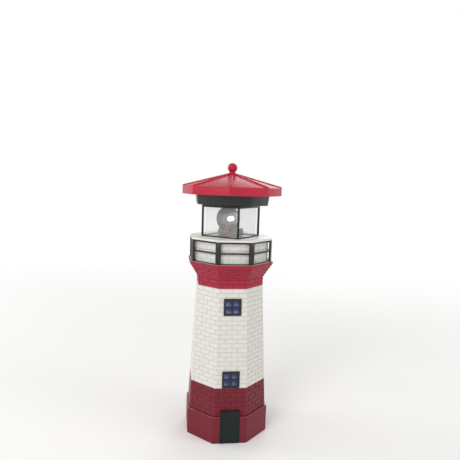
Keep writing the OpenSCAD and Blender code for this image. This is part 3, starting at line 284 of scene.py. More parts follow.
def brickwork(name, brick, joint, roughness, profile, mottle=0.05, specular=0.4, ledge_shine=0.0):
    """profile: heights in mm and the corner radius of the wall there. ledge_shine is the
    weight of a clear coat on what faces up."""
    finish = Finish(name)
    distance, along, z = folded(finish)
    (z0, r0), (z1, r1) = profile[0], profile[1]
    slope = (r1 - r0) / (z1 - z0)
    wall = (z - z0 * MM) * slope + r0 * MM
    for (za, ra), (zb, rb) in zip(profile[1:], profile[2:]):
        change = (rb - ra) / (zb - za) - slope
        slope += change
        wall = wall + (z - za * MM).math("MAXIMUM", 0.0) * change
    depth = wall * math.cos(HALF_SIDE) - distance
    in_joint = depth.ramp(0.3 * JOINT_D * MM, 0.9 * JOINT_D * MM)
    patches = finish.grain(60, 4)
    specks = finish.grain(1100, 2)
    per_brick = finish.node("ShaderNodeTexWhiteNoise", {"noise_dimensions": "1D"},
                            {"W": (z / (COURSE_H * MM)).math("FLOOR")
                             + (along / (BRICK_L * MM)).math("FLOOR") * 7.3})
    tone = (patches - 0.5) * 2 + (specks - 0.5) + (per_brick - 0.5) * 0.5
    pale = tuple(min(1, c * (1 + 2 * mottle)) for c in brick)
    dark = tuple(c * (1 - 3 * mottle) for c in brick)
    face = finish.blend(tone * 0.35 + 0.5, dark, pale)
    base = finish.blend(in_joint, face, joint)
    gloss = (patches - 0.5) * 0.2 + in_joint * 0.2 + roughness
    relief = finish.bump(finish.grain(380, 3) * 0.6 + specks * 0.4, 0.55, 0.045 * MM)
    coat = 0.0
    if ledge_shine:
        upward = finish.axes(finish.node("ShaderNodeNewGeometry", output="Normal"))[2]
        coat = upward.ramp(0.3, 0.8) * ledge_shine
    return finish.shade(base_color=base, roughness=gloss, normal=relief, specular_ior_level=specular,
                        coat_weight=coat, coat_roughness=0.22)

white_brick = brickwork("white_brick", (0.66, 0.646, 0.61), (0.592, 0.58, 0.547), 0.46,
                        [(FOOT_Z, tower_r(FOOT_Z)), (TOWER_Z, NECK_R)], 0.02)
# The foot's red is the neck's red made darker: painted shade, since the foot stands low in the shade.
lower_brick_painted_shade = brickwork("lower_brick_painted_shade", (0.155, 0.0085, 0.0195), (0.143, 0.0078, 0.018), 0.42,
                        [(LEDGE_Z, LEDGE_R), (FOOT_Z, tower_r(FOOT_Z))], 0.05, 0.3, 0.9)
corbel_brick = brickwork("corbel_brick", (0.32, 0.017, 0.038), (0.295, 0.0157, 0.035), 0.42,
                         [(TOWER_Z, NECK_R), (NECK_Z, NECK_R), (FLARE_Z, FLARE_R)], 0.05, 0.3)
drum_brick = brickwork("drum_brick", (0.67, 0.658, 0.625), (0.6, 0.588, 0.557), 0.42,
                       [(DECK_Z, DRUM_R), (DRUM_Z, DRUM_R)], 0.02)
print("corner radius at the white wall's foot and head:", round(tower_r(FOOT_Z), 2), tower_r(TOWER_Z))

# %% [markdown]
# Small finishes for what the head hides: metals with fine scratches, the board's green
# lacquer, the natural white of the gears and the blue cells. The leads lie in pairs, so
# one finish paints a pair: it takes a line between the two and colours either side of it.

# %% Metals, board, leads, gears and cells
def metal(name, colour, roughness):
    """Bare metal with fine scratches and a slightly uneven tone."""
    finish = Finish(name)
    lines = finish.grain(700, 5, 0.7)
    gloss = (lines - 0.5) * 0.24 + roughness
    base = finish.blend(finish.grain(90, 3), tuple(c * 0.88 for c in colour), colour)
    return finish.shade(base_color=base, roughness=gloss, metallic=1.0,
                        normal=finish.bump(lines, 0.25, 0.02 * MM))

steel = metal("steel", (0.62, 0.63, 0.65), 0.28)
brass = metal("brass", (0.74, 0.56, 0.26), 0.3)

BEAM_Z = 223.2
LAMP_PLACE = (-2.6, -4.2, BEAM_Z)
LAMP_R, PAINTED_GLOW_R = 2.5, 8

def painted_glow_bowl(centre):
    """A dark vacuum-coated bowl with a painted glow round the lamp in its middle, standing in for the
    lamp's light on it; centre in mm.
    """
    finish = Finish("painted_glow_bowl")
    x, y, z = finish.axes()
    dx, dy, dz = x - centre[0] * MM, y - centre[1] * MM, z - centre[2] * MM
    reach = (dx * dx + dy * dy + dz * dz).math("SQRT")
    # Painted light: the bowl's emission is strongest round the lamp and fades out further off, in place of
    # the lamp's light falling on it.
    glow = 1 - reach.ramp(LAMP_R * MM, PAINTED_GLOW_R * MM)
    streaks = finish.grain(300, 4, 0.6)
    base = finish.blend(streaks, (0.02, 0.02, 0.023), (0.07, 0.07, 0.078))
    light = finish.blend(glow * 0.8 + streaks * glow * 0.3, (0.0, 0.0, 0.0), (0.9, 0.92, 1.0))
    return finish.shade(base_color=base, roughness=streaks * 0.1 + 0.12, metallic=1.0,
                        normal=finish.bump(streaks, 0.2, 0.02 * MM),
                        emission_color=light, emission_strength=0.8)

dark_mirror = painted_glow_bowl(LAMP_PLACE)
gear_white = moulded("gear_white", (0.68, 0.66, 0.58), 0.38, 0.03)
battery_sleeve = moulded("battery_sleeve", (0.05, 0.24, 0.11), 0.25, 0.03, coat=0.4)
red_sheath = moulded("red_sheath", (0.42, 0.02, 0.02), 0.45)

def paired_sheath(name, turn, start=0.0, drift=0.0):
    """Red on one side of a line in plan and black on the other. The line crosses the
    middle at start, in mm, and moves sideways by drift for each mm along it."""
    finish = Finish(name)
    x, y, _ = finish.axes()
    side = x * math.cos(turn) + y * math.sin(turn)
    back = (y * math.cos(turn) - x * math.sin(turn)) - start * MM
    red = (side - back * drift).ramp(-0.05 * MM, 0.05 * MM)
    base = finish.blend(red, (0.012, 0.012, 0.012), (0.42, 0.02, 0.02))
    specks = finish.grain(700, 3)
    return finish.shade(base_color=base, roughness=specks * 0.2 + 0.34,
                        normal=finish.bump(specks, 0.4, 0.02 * MM))

LANTERN_DEG = 7
solar_pair = paired_sheath("solar_pair", math.radians(LANTERN_DEG), 24.1, 0.93)
side_pair = paired_sheath("side_pair", math.radians(90))

def board_lacquer():
    """Green lacquer, raised and a little darker over the tracks."""
    finish = Finish("board_lacquer")
    tracks = finish.node("ShaderNodeTexVoronoi", {"distance": "MANHATTAN"},
                         {"Vector": finish.place, "Scale": 260.0})
    line = tracks.ramp(0.28, 0.34)
    base = finish.blend(line, (0.05, 0.22, 0.10), (0.028, 0.13, 0.06))
    return finish.shade(base_color=base, roughness=finish.grain(200) * 0.1 + 0.22,
                        normal=finish.bump(line, 0.3, 0.04 * MM))

circuit_green = board_lacquer()
ROOF_DEG = 13
FINGER_STEP, BUS_STEP = 1.6, 7

def cell_glass():
    """Dark blue cells, with fine silver fingers across each facet and wider lines up it."""
    finish = Finish("cell_glass")
    up, across, _ = folded(finish, math.radians(ROOF_DEG))
    finger = ((up / (FINGER_STEP * MM)).math("FRACT") - 0.5).math("ABSOLUTE").ramp(0.44, 0.47)
    bus = ((across / (BUS_STEP * MM)).math("FRACT") - 0.5).math("ABSOLUTE").ramp(0.455, 0.475)
    silver = finger.math("MAXIMUM", bus)
    blue = finish.blend(finish.grain(160, 4), (0.008, 0.014, 0.05), (0.02, 0.035, 0.11))
    base = finish.blend(silver, blue, (0.42, 0.44, 0.47))
    return finish.shade(base_color=base, roughness=silver * 0.2 + 0.12, coat_weight=0.8,
                        coat_roughness=0.04)

solar_glass = cell_glass()
print("materials so far, with those the frame came with:", len(bpy.data.materials))

# %% [markdown]
# The clear pieces. The lantern's sleeve is clear plastic with a faint haze and a few scuffs, so it is
# mostly see-through, and its gloss does the rest. The window panes are blue, with a painted reflection of
# the ground that makes each pane paler towards the bottom and the left. The lamp glows. The floor is pale
# near the tower, where the shadow lies, and gives its own white far off.

# %% Clear sleeve, panes, lamp and floor
def clear_sleeve():
    """Nearly clear plastic; haze and scuffs make it a little less so."""
    finish = Finish("clear_sleeve")
    haze = finish.grain(40, 3)
    scuff = finish.grain(500, 4, 0.7).ramp(0.55, 0.8)
    alpha = haze * 0.12 + scuff * 0.08 + 0.09
    return finish.shade(base_color=(0.86, 0.87, 0.86), roughness=scuff * 0.2 + 0.08, alpha=alpha,
                        specular_ior_level=0.5)

PANE_STEP_X, PANE_STEP_Z = 7.6, 7.35

def pane_plastic():
    """Blue panes, with a painted reflection: a paler cloud low on the left of each one. The pattern repeats
    from pane to pane, and its offsets put the seams on the bars."""
    finish = Finish("pane_plastic")
    x, _, z = finish.axes()
    column = ((x + 20 * MM) / (PANE_STEP_X * MM) + 0.37).math("FRACT")
    row = ((z - 1.2 * MM) / (PANE_STEP_Z * MM) + 0.2).math("FRACT")
    low_left = (1 - row) * 0.9 + (1 - column) * 0.5
    painted_reflection = low_left + (finish.grain(260, 3) - 0.5) * 0.7
    base = finish.blend(painted_reflection.ramp(0.55, 1.25), (0.022, 0.026, 0.115), (0.15, 0.19, 0.42))
    return finish.shade(base_color=base, roughness=finish.grain(300) * 0.1 + 0.12, coat_weight=0.3,
                        coat_roughness=0.1, specular_ior_level=0.3)

def lamp_glow():
    """The lamp's plastic, lit from inside."""
    finish = Finish("lamp_glow")
    base = finish.blend(finish.grain(800, 2), (0.85, 0.87, 0.9), (0.95, 0.96, 1.0))
    return finish.shade(base_color=base, roughness=0.1, emission_color=(0.93, 0.96, 1.0),
                        emission_strength=2.5)

def floor_paint():
    """Pale near the tower, where it keeps the shadow, and as white as the room far off."""
    finish = Finish("floor_paint")
    x, y, _ = finish.axes()
    far = (x * x + y * y).math("SQRT").ramp(0.3, 1.1)
    near = finish.blend(finish.grain(8, 3), (0.90, 0.90, 0.89), (0.92, 0.92, 0.91))
    base = finish.blend(far, near, (0.0, 0.0, 0.0))
    glow = finish.blend(far, (0.0, 0.0, 0.0), (1.0, 1.0, 1.0))
    return finish.shade(base_color=base, roughness=0.9, specular_ior_level=0.0,
                        emission_color=glow, emission_strength=1.0)

glazing_clear = clear_sleeve()
pane_blue = pane_plastic()
lamp_lens = lamp_glow()
floor.data.materials.append(floor_paint())
print("materials in all, with those the frame came with:", len(bpy.data.materials))

# %% [markdown]
# Every solid of the packed model gets its finish first. A solid's material slots are
# filled in place, which keeps its mesh as it was packed. The pieces that are modelled by
# hand below hide the solids they stand for.

# %% Finishes for the packed solids
FINISH_OF = {
    "lower_tower": lower_brick_painted_shade, "brick_tower": white_brick, "corbel": corbel_brick,
    "gallery_drum": drum_brick, "railing": black_plastic,
    "upper_window_frame": black_plastic, "lower_window_frame": black_plastic,
    "upper_window_panes": pane_blue, "lower_window_panes": pane_blue, "door": door_plastic,
    "bottom_cover": black_plastic, "bottom_screws": steel,
    "top_plate": white_plastic, "lantern_frame": black_plastic, "lantern_glazing": glazing_clear,
    "collar": black_plastic, "roof": red_gloss, "finial": red_gloss, "solar_cells": solar_glass,
    "shaft_bush": brass, "contact_brushes": brass, "pack_case": grey_plastic,
    "pack_cover": grey_plastic, "pack_screws": steel, "cover_screws": steel,
    "circuit_board": circuit_green, "board_screws": steel, "motor": steel,
    "battery": battery_sleeve, "battery_spring": steel, "battery_contacts": steel,
    "switch_body": black_plastic, "solar_leads": solar_pair, "motor_leads": side_pair,
    "lamp_leads": side_pair, "collar_screws": steel,
    "turntable": grey_plastic, "reflector": dark_mirror, "led": lamp_lens, "led_leads": red_sheath,
    "slip_rings": brass, "beacon_shaft": steel, "drive_gear": gear_white,
    "motor_shaft": steel, "drive_pinion": gear_white,
    "switch_knob": white_plastic, "battery_door": grey_plastic,
}
for name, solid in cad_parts.items():
    solid.data.materials.clear()
    solid.data.materials.append(FINISH_OF[name])
print("solids with a finish:", len(FINISH_OF))

# %% [markdown]
# The visible pieces are modelled the way it is done by hand. A primitive is added at its
# place, edit mode shapes it, and faces are chosen by where they lie or where they look.
# These few helpers open a piece, pick parts of it, round its edges and close it again
# with its finish, its body and the solid that it stands for.

# %% Modelling helpers
WELD_WITHIN = 0.001

def deselect():
    """Leaves edit mode and selects nothing."""
    if bpy.context.object and bpy.context.object.mode != "OBJECT":
        bpy.ops.object.mode_set(mode="OBJECT")
    bpy.ops.object.select_all(action="DESELECT")

def alone(piece):
    """Selects one piece and nothing else."""
    deselect()
    piece.select_set(True)
    bpy.context.view_layer.objects.active = piece

def edit(piece):
    """Opens one piece alone in edit mode."""
    alone(piece)
    bpy.ops.object.mode_set(mode="EDIT")
    bpy.ops.mesh.select_mode(type="FACE")

def started(name):
    """Names the primitive just added, puts its place into its mesh and opens it."""
    piece = bpy.context.object
    piece.name = piece.data.name = name
    bpy.ops.object.transform_apply(location=True, rotation=True, scale=True)
    edit(piece)
    return piece

def pick(kind, test):
    """Selects the faces, edges or vertices of the open piece that pass a test."""
    bpy.ops.mesh.select_mode(type=kind)
    bpy.ops.mesh.select_all(action="DESELECT")
    mesh = bmesh.from_edit_mesh(bpy.context.object.data)
    mesh.normal_update()
    group = {"FACE": mesh.faces, "EDGE": mesh.edges, "VERT": mesh.verts}[kind]
    chosen = [part for part in group if test(part)]
    for part in chosen:
        part.select_set(True)
    mesh.select_flush_mode()
    bmesh.update_edit_mesh(bpy.context.object.data, loop_triangles=False, destructive=False)
    return len(chosen)

def soften(piece, width, angle=35, segments=2):
    """Rounds every edge sharper than the angle, as a mould leaves it; width in mm."""
    alone(piece)
    bpy.ops.object.modifier_add(type="BEVEL")
    bevel = piece.modifiers[-1]
    bevel.width = width * MM
    bevel.segments = segments
    bevel.limit_method = "ANGLE"
    bevel.angle_limit = math.radians(angle)
    bevel.use_clamp_overlap = True
    bpy.ops.object.modifier_apply(modifier=bevel.name)

def turn_open(angle, axis):
    """Turns all of the open piece about an axis through the origin, anticlockwise in
    radians; the operator itself counts clockwise."""
    bpy.ops.mesh.select_all(action="SELECT")
    bpy.ops.transform.rotate(value=-angle, orient_axis=axis, orient_type="GLOBAL",
                             center_override=(0, 0, 0))

def joined(name, pieces):
    """Makes one piece of several."""
    deselect()
    for piece in pieces:
        piece.select_set(True)
    bpy.context.view_layer.objects.active = pieces[0]
    bpy.ops.object.join()
    pieces[0].name = pieces[0].data.name = name
    return pieces[0]

def copied(piece, angle):
    """A copy with its own mesh, turned about the tower's axis by an angle in degrees."""
    alone(piece)
    bpy.ops.object.duplicate()
    twin = bpy.context.object
    edit(twin)
    turn_open(math.radians(angle), "Z")
    deselect()
    return twin

def closed_up(piece):
    """Welds what meets and turns every face outwards."""
    edit(piece)
    bpy.ops.mesh.select_all(action="SELECT")
    bpy.ops.mesh.remove_doubles(threshold=WELD_WITHIN * MM)
    bpy.ops.mesh.normals_make_consistent(inside=False)
    deselect()

def finished(piece, body, node, smooth=32):
    """Gives a piece its finish, its body and the solid it stands for, and prints how far
    its box is from that solid's."""
    closed_up(piece)
    alone(piece)
    bpy.ops.object.shade_smooth_by_angle(angle=math.radians(smooth))
    piece.data.materials.clear()
    piece.data.materials.append(FINISH_OF[node])
    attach(piece, body)
    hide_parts(node)
    low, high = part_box(node)
    corners = [piece.matrix_world @ v.co for v in piece.data.vertices]
    off = [round(max(abs(min(c[i] for c in corners) - low[i]),
                     abs(max(c[i] for c in corners) - high[i])) / MM, 2) for i in range(3)]
    print(piece.name, "faces:", len(piece.data.polygons), "box off by mm:", off)

print("pieces are welded within mm:", WELD_WITHIN)

# %% [markdown]
# Nearly everything on this lighthouse is a stack of rings: eight-sided walls, a square
# lantern, round turned parts. So one helper adds a circle with the right number of sides
# and extrudes it ring by ring, each time scaled to the next radius. A profile that ends
# where it began is a closed ring, whose seam is welded. Any other profile gets a face at
# both ends: the last one is carried up by the extrusion, the first one is filled in.

# %% Rings extruded into walls
def ring_stack(name, sides, profile, turn=0.0):
    """profile: corner radius and height in mm, from ring to ring; turn in degrees."""
    deselect()
    first_r, first_z = profile[0]
    bpy.ops.mesh.primitive_circle_add(vertices=sides, radius=first_r * MM, fill_type="NOTHING",
                                      location=(0, 0, first_z * MM),
                                      rotation=(0, 0, math.radians(turn)))
    piece = started(name)
    bpy.ops.mesh.select_mode(type="EDGE")
    bpy.ops.mesh.select_all(action="SELECT")
    loop = profile[0] == profile[-1]
    if not loop:
        bpy.ops.mesh.edge_face_add()
    for (ra, za), (rb, zb) in zip(profile, profile[1:]):
        bpy.ops.mesh.extrude_region_move(
            TRANSFORM_OT_translate={"value": (0, 0, (zb - za) * MM)})
        bpy.ops.transform.resize(value=(rb / ra, rb / ra, 1), center_override=(0, 0, zb * MM))
    if loop:
        bpy.ops.mesh.select_all(action="SELECT")
        bpy.ops.mesh.remove_doubles(threshold=WELD_WITHIN * MM)
    else:
        pick("EDGE", lambda e: e.is_boundary)
        bpy.ops.mesh.edge_face_add()
    deselect()
    return piece

def corner_edge(edge):
    """True for an edge that runs along a corner and not along a ring."""
    first, second = (math.degrees(math.atan2(v.co.y, v.co.x)) for v in edge.verts)
    return abs((first - second + 180) % 360 - 180) < 0.5

SIDE_DEG = 360 / SIDES
OCTAGON = SIDE_DEG / 2
print("an octagon's face lies at", round(math.cos(HALF_SIDE), 4), "of its corner radius")

# %% [markdown]
# The walls are moulded with bricks. On the real one the joints are sunk into the wall.
# Here the wall is made at the depth of the joints, and each brick is then inset by half
# a joint and raised, with a small chamfer so its edge catches the light. Level joints
# come from the rings. Upright joints are cut in with bisect, side by side, half a brick
# off from course to course. The bricks at the corners wrap round them, as in real masonry,
# so both their faces are raised together. No two bricks raised at once touch each other.

# %% Brick walls
JOINT_R = JOINT_D / math.cos(HALF_SIDE)
HALF_JOINT, BRICK_DRAFT, BRICK_CHAMFER = 0.29, 0.06, 0.12
OUTER_WITHIN = 0.9

def side_of(point):
    """The side of the octagon a point belongs to, and its place along it in mm."""
    side = round(math.degrees(math.atan2(point.x, -point.y)) / SIDE_DEG) % SIDES
    angle = math.radians(SIDE_DEG * side)
    return side, (point.x * math.cos(angle) + point.y * math.sin(angle)) / MM

def upright_joints(row, side):
    """Places of the upright joints along a side, in mm; they swap from side to side too."""
    return (-BRICK_L, 0, BRICK_L) if (row + side) % 2 == 0 else (-BRICK_L / 2, BRICK_L / 2)

def lay_bricks(piece, rings, rows):
    """rings: radius and height of every level joint; rows: a number for each course, odd or
    even, which settles where its upright joints are. Faces further in than OUTER_WITHIN
    from the ring are the wall's inside and get no bricks."""
    walls, levels = zip(*rings)
    edit(piece)

    def course_of(face):
        centre = face.calc_center_median()
        z = centre.z / MM
        if not levels[0] < z < levels[-1] or abs(face.normal.z) > 0.8:
            return None
        index = max(i for i, level in enumerate(levels) if level < z)
        angle = math.radians(SIDE_DEG * side_of(centre)[0])
        outward = Vector((math.sin(angle), -math.cos(angle), 0))
        if (face.normal.dot(outward) < 0.6
                or centre.dot(outward) < (walls[index] - OUTER_WITHIN) * math.cos(HALF_SIDE) * MM):
            return None
        return index

    for side in range(SIDES):
        angle = math.radians(SIDE_DEG * side)
        along = Vector((math.cos(angle), math.sin(angle), 0))
        for offset, kind in [(place, kind) for kind in (0, 1) for place in upright_joints(kind, 0)]:
            def here(face):
                course = course_of(face)
                return (course is not None and side_of(face.calc_center_median())[0] == side
                        and (rows[course] + side) % 2 == kind)
            pick("FACE", here)
            bpy.ops.mesh.bisect(plane_co=along * offset * MM, plane_no=along, threshold=1e-7)

    def brick_of(face):
        course = course_of(face)
        if course is None:
            return None
        side, place = side_of(face.calc_center_median())
        before = [(s, j) for s in range(SIDES) for j in upright_joints(rows[course], s)]
        return course, sum(1 for joint in before if joint < (side, place)) % len(before)

    bricks = 0
    for odd_course in (0, 1):
        for odd_brick in (0, 1):
            def in_turn(face):
                brick = brick_of(face)
                return brick is not None and (brick[0] % 2, brick[1] % 2) == (odd_course, odd_brick)
            bricks += pick("FACE", in_turn)
            bpy.ops.mesh.inset(thickness=HALF_JOINT * MM, depth=0)
            bpy.ops.mesh.inset(thickness=BRICK_DRAFT * MM, depth=(JOINT_D - BRICK_CHAMFER) * MM)
            bpy.ops.mesh.inset(thickness=BRICK_CHAMFER * MM, depth=BRICK_CHAMFER * MM)
    deselect()
    print(piece.name, "brick faces raised:", bricks)

def courses(z0, z1, r0, r1, count):
    """Rings at every level joint of a wall, at the depth of the joints."""
    return [(r0 + (r1 - r0) * i / count - JOINT_R, z0 + (z1 - z0) * i / count)
            for i in range(count + 1)]

print("bricks are raised by mm:", JOINT_D, "between joints this wide:", 2 * HALF_JOINT)

# %% [markdown]
# The foot is one red moulding, its red painted darker than the neck's as painted shade: a plain plinth with
# a chamfered ledge and six courses above. A shallow pocket in the front takes the door: two bisects bound
# it on the plinth's front, and the face between them is pushed in.

# %% Foot
PLINTH_EDGE_Z = 26.8
PLINTH_FACE = PLINTH_R * math.cos(HALF_SIDE)
POCKET_HALF_W, POCKET_D = 9.95, 1.4
foot_rows = courses(LEDGE_Z, FOOT_Z, LEDGE_R, tower_r(FOOT_Z), 6)
foot = ring_stack("foot", SIDES, [(44.6, 0), (PLINTH_R, 0.4), (PLINTH_R, PLINTH_EDGE_Z), (44.9, 27.15),
                                  (44.5, 27.85), (44.3, LEDGE_Z)] + foot_rows
                  + [(38.78, FOOT_Z), (40.5, 27), (42.4, 25), (42.4, 0), (44.6, 0)], OCTAGON)
lay_bricks(foot, foot_rows, range(6))

def plinth_front(face):
    """True for the faces of the plinth's upright front."""
    centre = face.calc_center_median() / MM
    return face.normal.y < -0.9 and centre.y < -PLINTH_FACE + 0.2 and 0.4 < centre.z < PLINTH_EDGE_Z

edit(foot)
for x in (-POCKET_HALF_W, POCKET_HALF_W):
    pick("FACE", plinth_front)
    bpy.ops.mesh.bisect(plane_co=(x * MM, 0, 0), plane_no=(1, 0, 0), threshold=1e-7)
pick("FACE", lambda f: plinth_front(f) and abs(f.calc_center_median().x) < 5 * MM)
bpy.ops.mesh.extrude_region_move(TRANSFORM_OT_translate={"value": (0, POCKET_D * MM, 0)})
deselect()
finished(foot, "tower", "lower_tower")

# %% [markdown]
# The white tower has twenty-two courses and sits on the foot with a spigot, a thin collar
# that slips inside. Its windows are real openings through the wall. They are cut before
# the bricks are laid: bisects outline them, the faces inside are deleted on both skins of
# the wall, and the edges that are left are bridged, which makes the reveals.

# %% White tower
OPENING_HALF_W = 7.25
OPENINGS = ((59, 73), (132, 146))
tower_rows = courses(FOOT_Z, TOWER_Z, tower_r(FOOT_Z), NECK_R, 22)
tower_wall = ring_stack("white_tower", SIDES, tower_rows
                        + [(33.2, TOWER_Z), (38.66, 58.6), (37.2, 58.0), (37.1, 52), (38.85, 52),
                           (38.57, FOOT_Z), tower_rows[0]], OCTAGON)

def wall_front(face):
    """True for the faces of the front wall, outside and inside."""
    centre = face.calc_center_median()
    return side_of(centre)[0] == 0 and -centre.y > 28 * MM and abs(face.normal.z) < 0.5

edit(tower_wall)
for place, normal in ([((x, 0, 0), (1, 0, 0)) for x in (-OPENING_HALF_W, OPENING_HALF_W)]
                      + [((0, 0, z), (0, 0, 1)) for opening in OPENINGS for z in opening]):
    pick("FACE", wall_front)
    bpy.ops.mesh.bisect(plane_co=Vector(place) * MM, plane_no=normal, threshold=1e-6)
for low, high in OPENINGS:
    count = pick("FACE", lambda f: wall_front(f) and abs(f.calc_center_median().x) < OPENING_HALF_W * MM
                 and low * MM < f.calc_center_median().z < high * MM)
    bpy.ops.mesh.delete(type="FACE")
    pick("EDGE", lambda e: e.is_boundary)
    bpy.ops.mesh.bridge_edge_loops()
    print("window opening from", low, "to", high, "mm, faces taken out:", count)
deselect()
lay_bricks(tower_wall, tower_rows, range(1, 23))
finished(tower_wall, "tower", "brick_tower")

# %% [markdown]
# The red neck widens into the flare that carries the gallery: two courses straight, five
# leaning out, then a plain rim that stands up a little round the deck. The white drum
# and the deck are one moulding, and hollow, because the lamp's works hang down through it.
# The flare's first course has its upright joints where the course below has them.

# %% Red neck with its flare, and the white drum
neck_rows = (courses(TOWER_Z, NECK_Z, NECK_R, NECK_R, 2)
             + courses(NECK_Z, FLARE_Z, NECK_R, FLARE_R, 5)[1:])
neck = ring_stack("neck_and_flare", SIDES, neck_rows
                  + [(45.2, FLARE_Z), (45.4, 179.95), (45.4, 181.45), (45.15, DECK_Z), (44.75, DECK_Z),
                     (44.53, 181.5), (44.53, 180.5), (41.3, 180.4), (33.2, NECK_Z), (33.2, 161),
                     (31.3, 160), (31.5, 152), (33.25, 152), (32.99, TOWER_Z), neck_rows[0]], OCTAGON)
lay_bricks(neck, neck_rows, [0, 1, 1, 2, 3, 4, 5])
finished(neck, "tower", "corbel", 28)

drum_rows = courses(DECK_Z, DRUM_Z, DRUM_R, DRUM_R, 5)
drum = ring_stack("white_drum", SIDES, [(44.32, 180.5), (44.32, 181.5), (44.1, DECK_Z)] + drum_rows
                  + [(37.65, DRUM_Z), (37.65, 177.9), (39.1, 177.9), (39.1, 180.5), (44.32, 180.5)],
                  OCTAGON)
lay_bricks(drum, drum_rows, range(5))
finished(drum, "tower", "gallery_drum")

# %% [markdown]
# The railing is one black moulding: flat posts at the eight corners, with a foot rail, a
# middle rail and a top rail run round between them. One post is a bevelled block that is
# copied round; each rail is an eight-sided ring.

# %% Railing
POST_AT, POST_T, POST_W = 42.1, 2.2, 5
POST_LOW, POST_HIGH = DECK_Z, 203.4
RAIL_IN_R, RAIL_OUT_R = 41.23, 42.85
deselect()
bpy.ops.mesh.primitive_cube_add(size=1, location=(POST_AT * MM, 0, (POST_LOW + POST_HIGH) / 2 * MM),
                                scale=(POST_T * MM, POST_W * MM, (POST_HIGH - POST_LOW) * MM))
post = started("gallery_railing")
deselect()
soften(post, 0.35, 35, 3)
edit(post)
turn_open(HALF_SIDE, "Z")
deselect()
posts = [post] + [copied(post, SIDE_DEG * k) for k in range(1, SIDES)]
rails = []
for low, high in ((DECK_Z, 182.7), (191.85, 193.35), (201.9, POST_HIGH)):
    rail = ring_stack("rail", SIDES, [(RAIL_IN_R, low), (RAIL_OUT_R, low), (RAIL_OUT_R, high),
                                      (RAIL_IN_R, high), (RAIL_IN_R, low)], OCTAGON)
    closed_up(rail)
    soften(rail, 0.3, 60)
    rails.append(rail)
finished(joined("gallery_railing", posts + rails), "tower", "railing")

# %% [markdown]
# Both windows are the same: a black frame with a cross of glazing bars, and blue panes
# behind. The frame starts as a flat sheet. It is inset for the border, split in four,
# each part inset by half a bar, and the four lights are deleted before it gets its depth.
# A thin sleeve behind it reaches into the opening. The panes are one plate with four
# slightly sunk lights. All are made upright and then laid on the leaning wall.

# %% Windows
WALL_LEAN = math.atan(LEAN * math.cos(HALF_SIDE))
FRAME_W, FRAME_H, FRAME_D, FRAME_PROUD = 17.5, 17, 1.45, 0.9
SLEEVE_W, SLEEVE_H, SLEEVE_D, SLEEVE_Y = 14.4, 13.9, 2.87, 1.93
PANES_W, PANES_H, PANES_D, PANES_Y = 13.3, 12.8, 0.8, 0.95

def lay_on_wall(z):
    """Turns all of the open piece with the wall and moves it to a height."""
    turn_open(-WALL_LEAN, "X")
    bpy.ops.transform.translate(value=(0, -tower_r(z) * math.cos(HALF_SIDE) * MM, z * MM))

def lean_check(piece, z):
    """True if a piece on the leaning wall lies further in above a height than below it."""
    top = [v.co.y for v in piece.data.vertices if v.co.z > z * MM]
    low = [v.co.y for v in piece.data.vertices if v.co.z < z * MM]
    return min(top) > min(low)

for level, opening in (("upper", OPENINGS[1]), ("lower", OPENINGS[0])):
    z = sum(opening) / 2
    deselect()
    bpy.ops.mesh.primitive_plane_add(size=1, location=(0, -FRAME_PROUD * MM, 0),
                                     rotation=(math.radians(90), 0, 0))
    bars = started("bars")
    bpy.ops.mesh.select_all(action="SELECT")
    bpy.ops.transform.resize(value=(FRAME_W * MM, 1, FRAME_H * MM),
                             center_override=(0, -FRAME_PROUD * MM, 0))
    bpy.ops.mesh.inset(thickness=1.2 * MM, depth=0)
    bpy.ops.mesh.subdivide(number_cuts=1)
    bpy.ops.mesh.inset(thickness=0.8 * MM, depth=0, use_individual=True)
    bpy.ops.mesh.delete(type="FACE")
    bpy.ops.mesh.select_all(action="SELECT")
    bpy.ops.mesh.extrude_region_move(TRANSFORM_OT_translate={"value": (0, FRAME_D * MM, 0)})
    closed_up(bars)
    soften(bars, 0.28, 60)
    deselect()
    bpy.ops.mesh.primitive_cube_add(size=1, location=(0, SLEEVE_Y * MM, 0),
                                    scale=(SLEEVE_W * MM, SLEEVE_D * MM, SLEEVE_H * MM))
    sleeve = started("sleeve")
    pick("FACE", lambda f: abs(f.normal.y) > 0.9)
    bpy.ops.mesh.delete(type="FACE")
    alone(sleeve)
    bpy.ops.object.modifier_add(type="SOLIDIFY")
    sleeve.modifiers[-1].thickness = 0.5 * MM
    bpy.ops.object.modifier_apply(modifier=sleeve.modifiers[-1].name)
    window = joined(level + "_window_bars", [bars, sleeve])
    edit(window)
    lay_on_wall(z)
    deselect()
    finished(window, "tower", level + "_window_frame")
    print("leans with the wall:", lean_check(window, z))

    deselect()
    bpy.ops.mesh.primitive_cube_add(size=1, location=(0, PANES_Y * MM, 0),
                                    scale=(PANES_W * MM, PANES_D * MM, PANES_H * MM))
    panes = started(level + "_window_lights")
    pick("FACE", lambda f: f.normal.y < -0.9)
    bpy.ops.mesh.subdivide(number_cuts=1)
    pick("FACE", lambda f: f.normal.y < -0.9)
    bpy.ops.mesh.inset(thickness=0.5 * MM, depth=0, use_individual=True)
    bpy.ops.mesh.inset(thickness=0.35 * MM, depth=-0.2 * MM, use_individual=True)
    lay_on_wall(z)
    deselect()
    finished(panes, "tower", level + "_window_panes", 25)

# %% [markdown]
# The door is a thick dark plate with a plain raised border on three sides. Its front face
# is inset, the lower strip is moved down to the sill, and the field is pushed back. Four
# pegs behind it press into the foot.

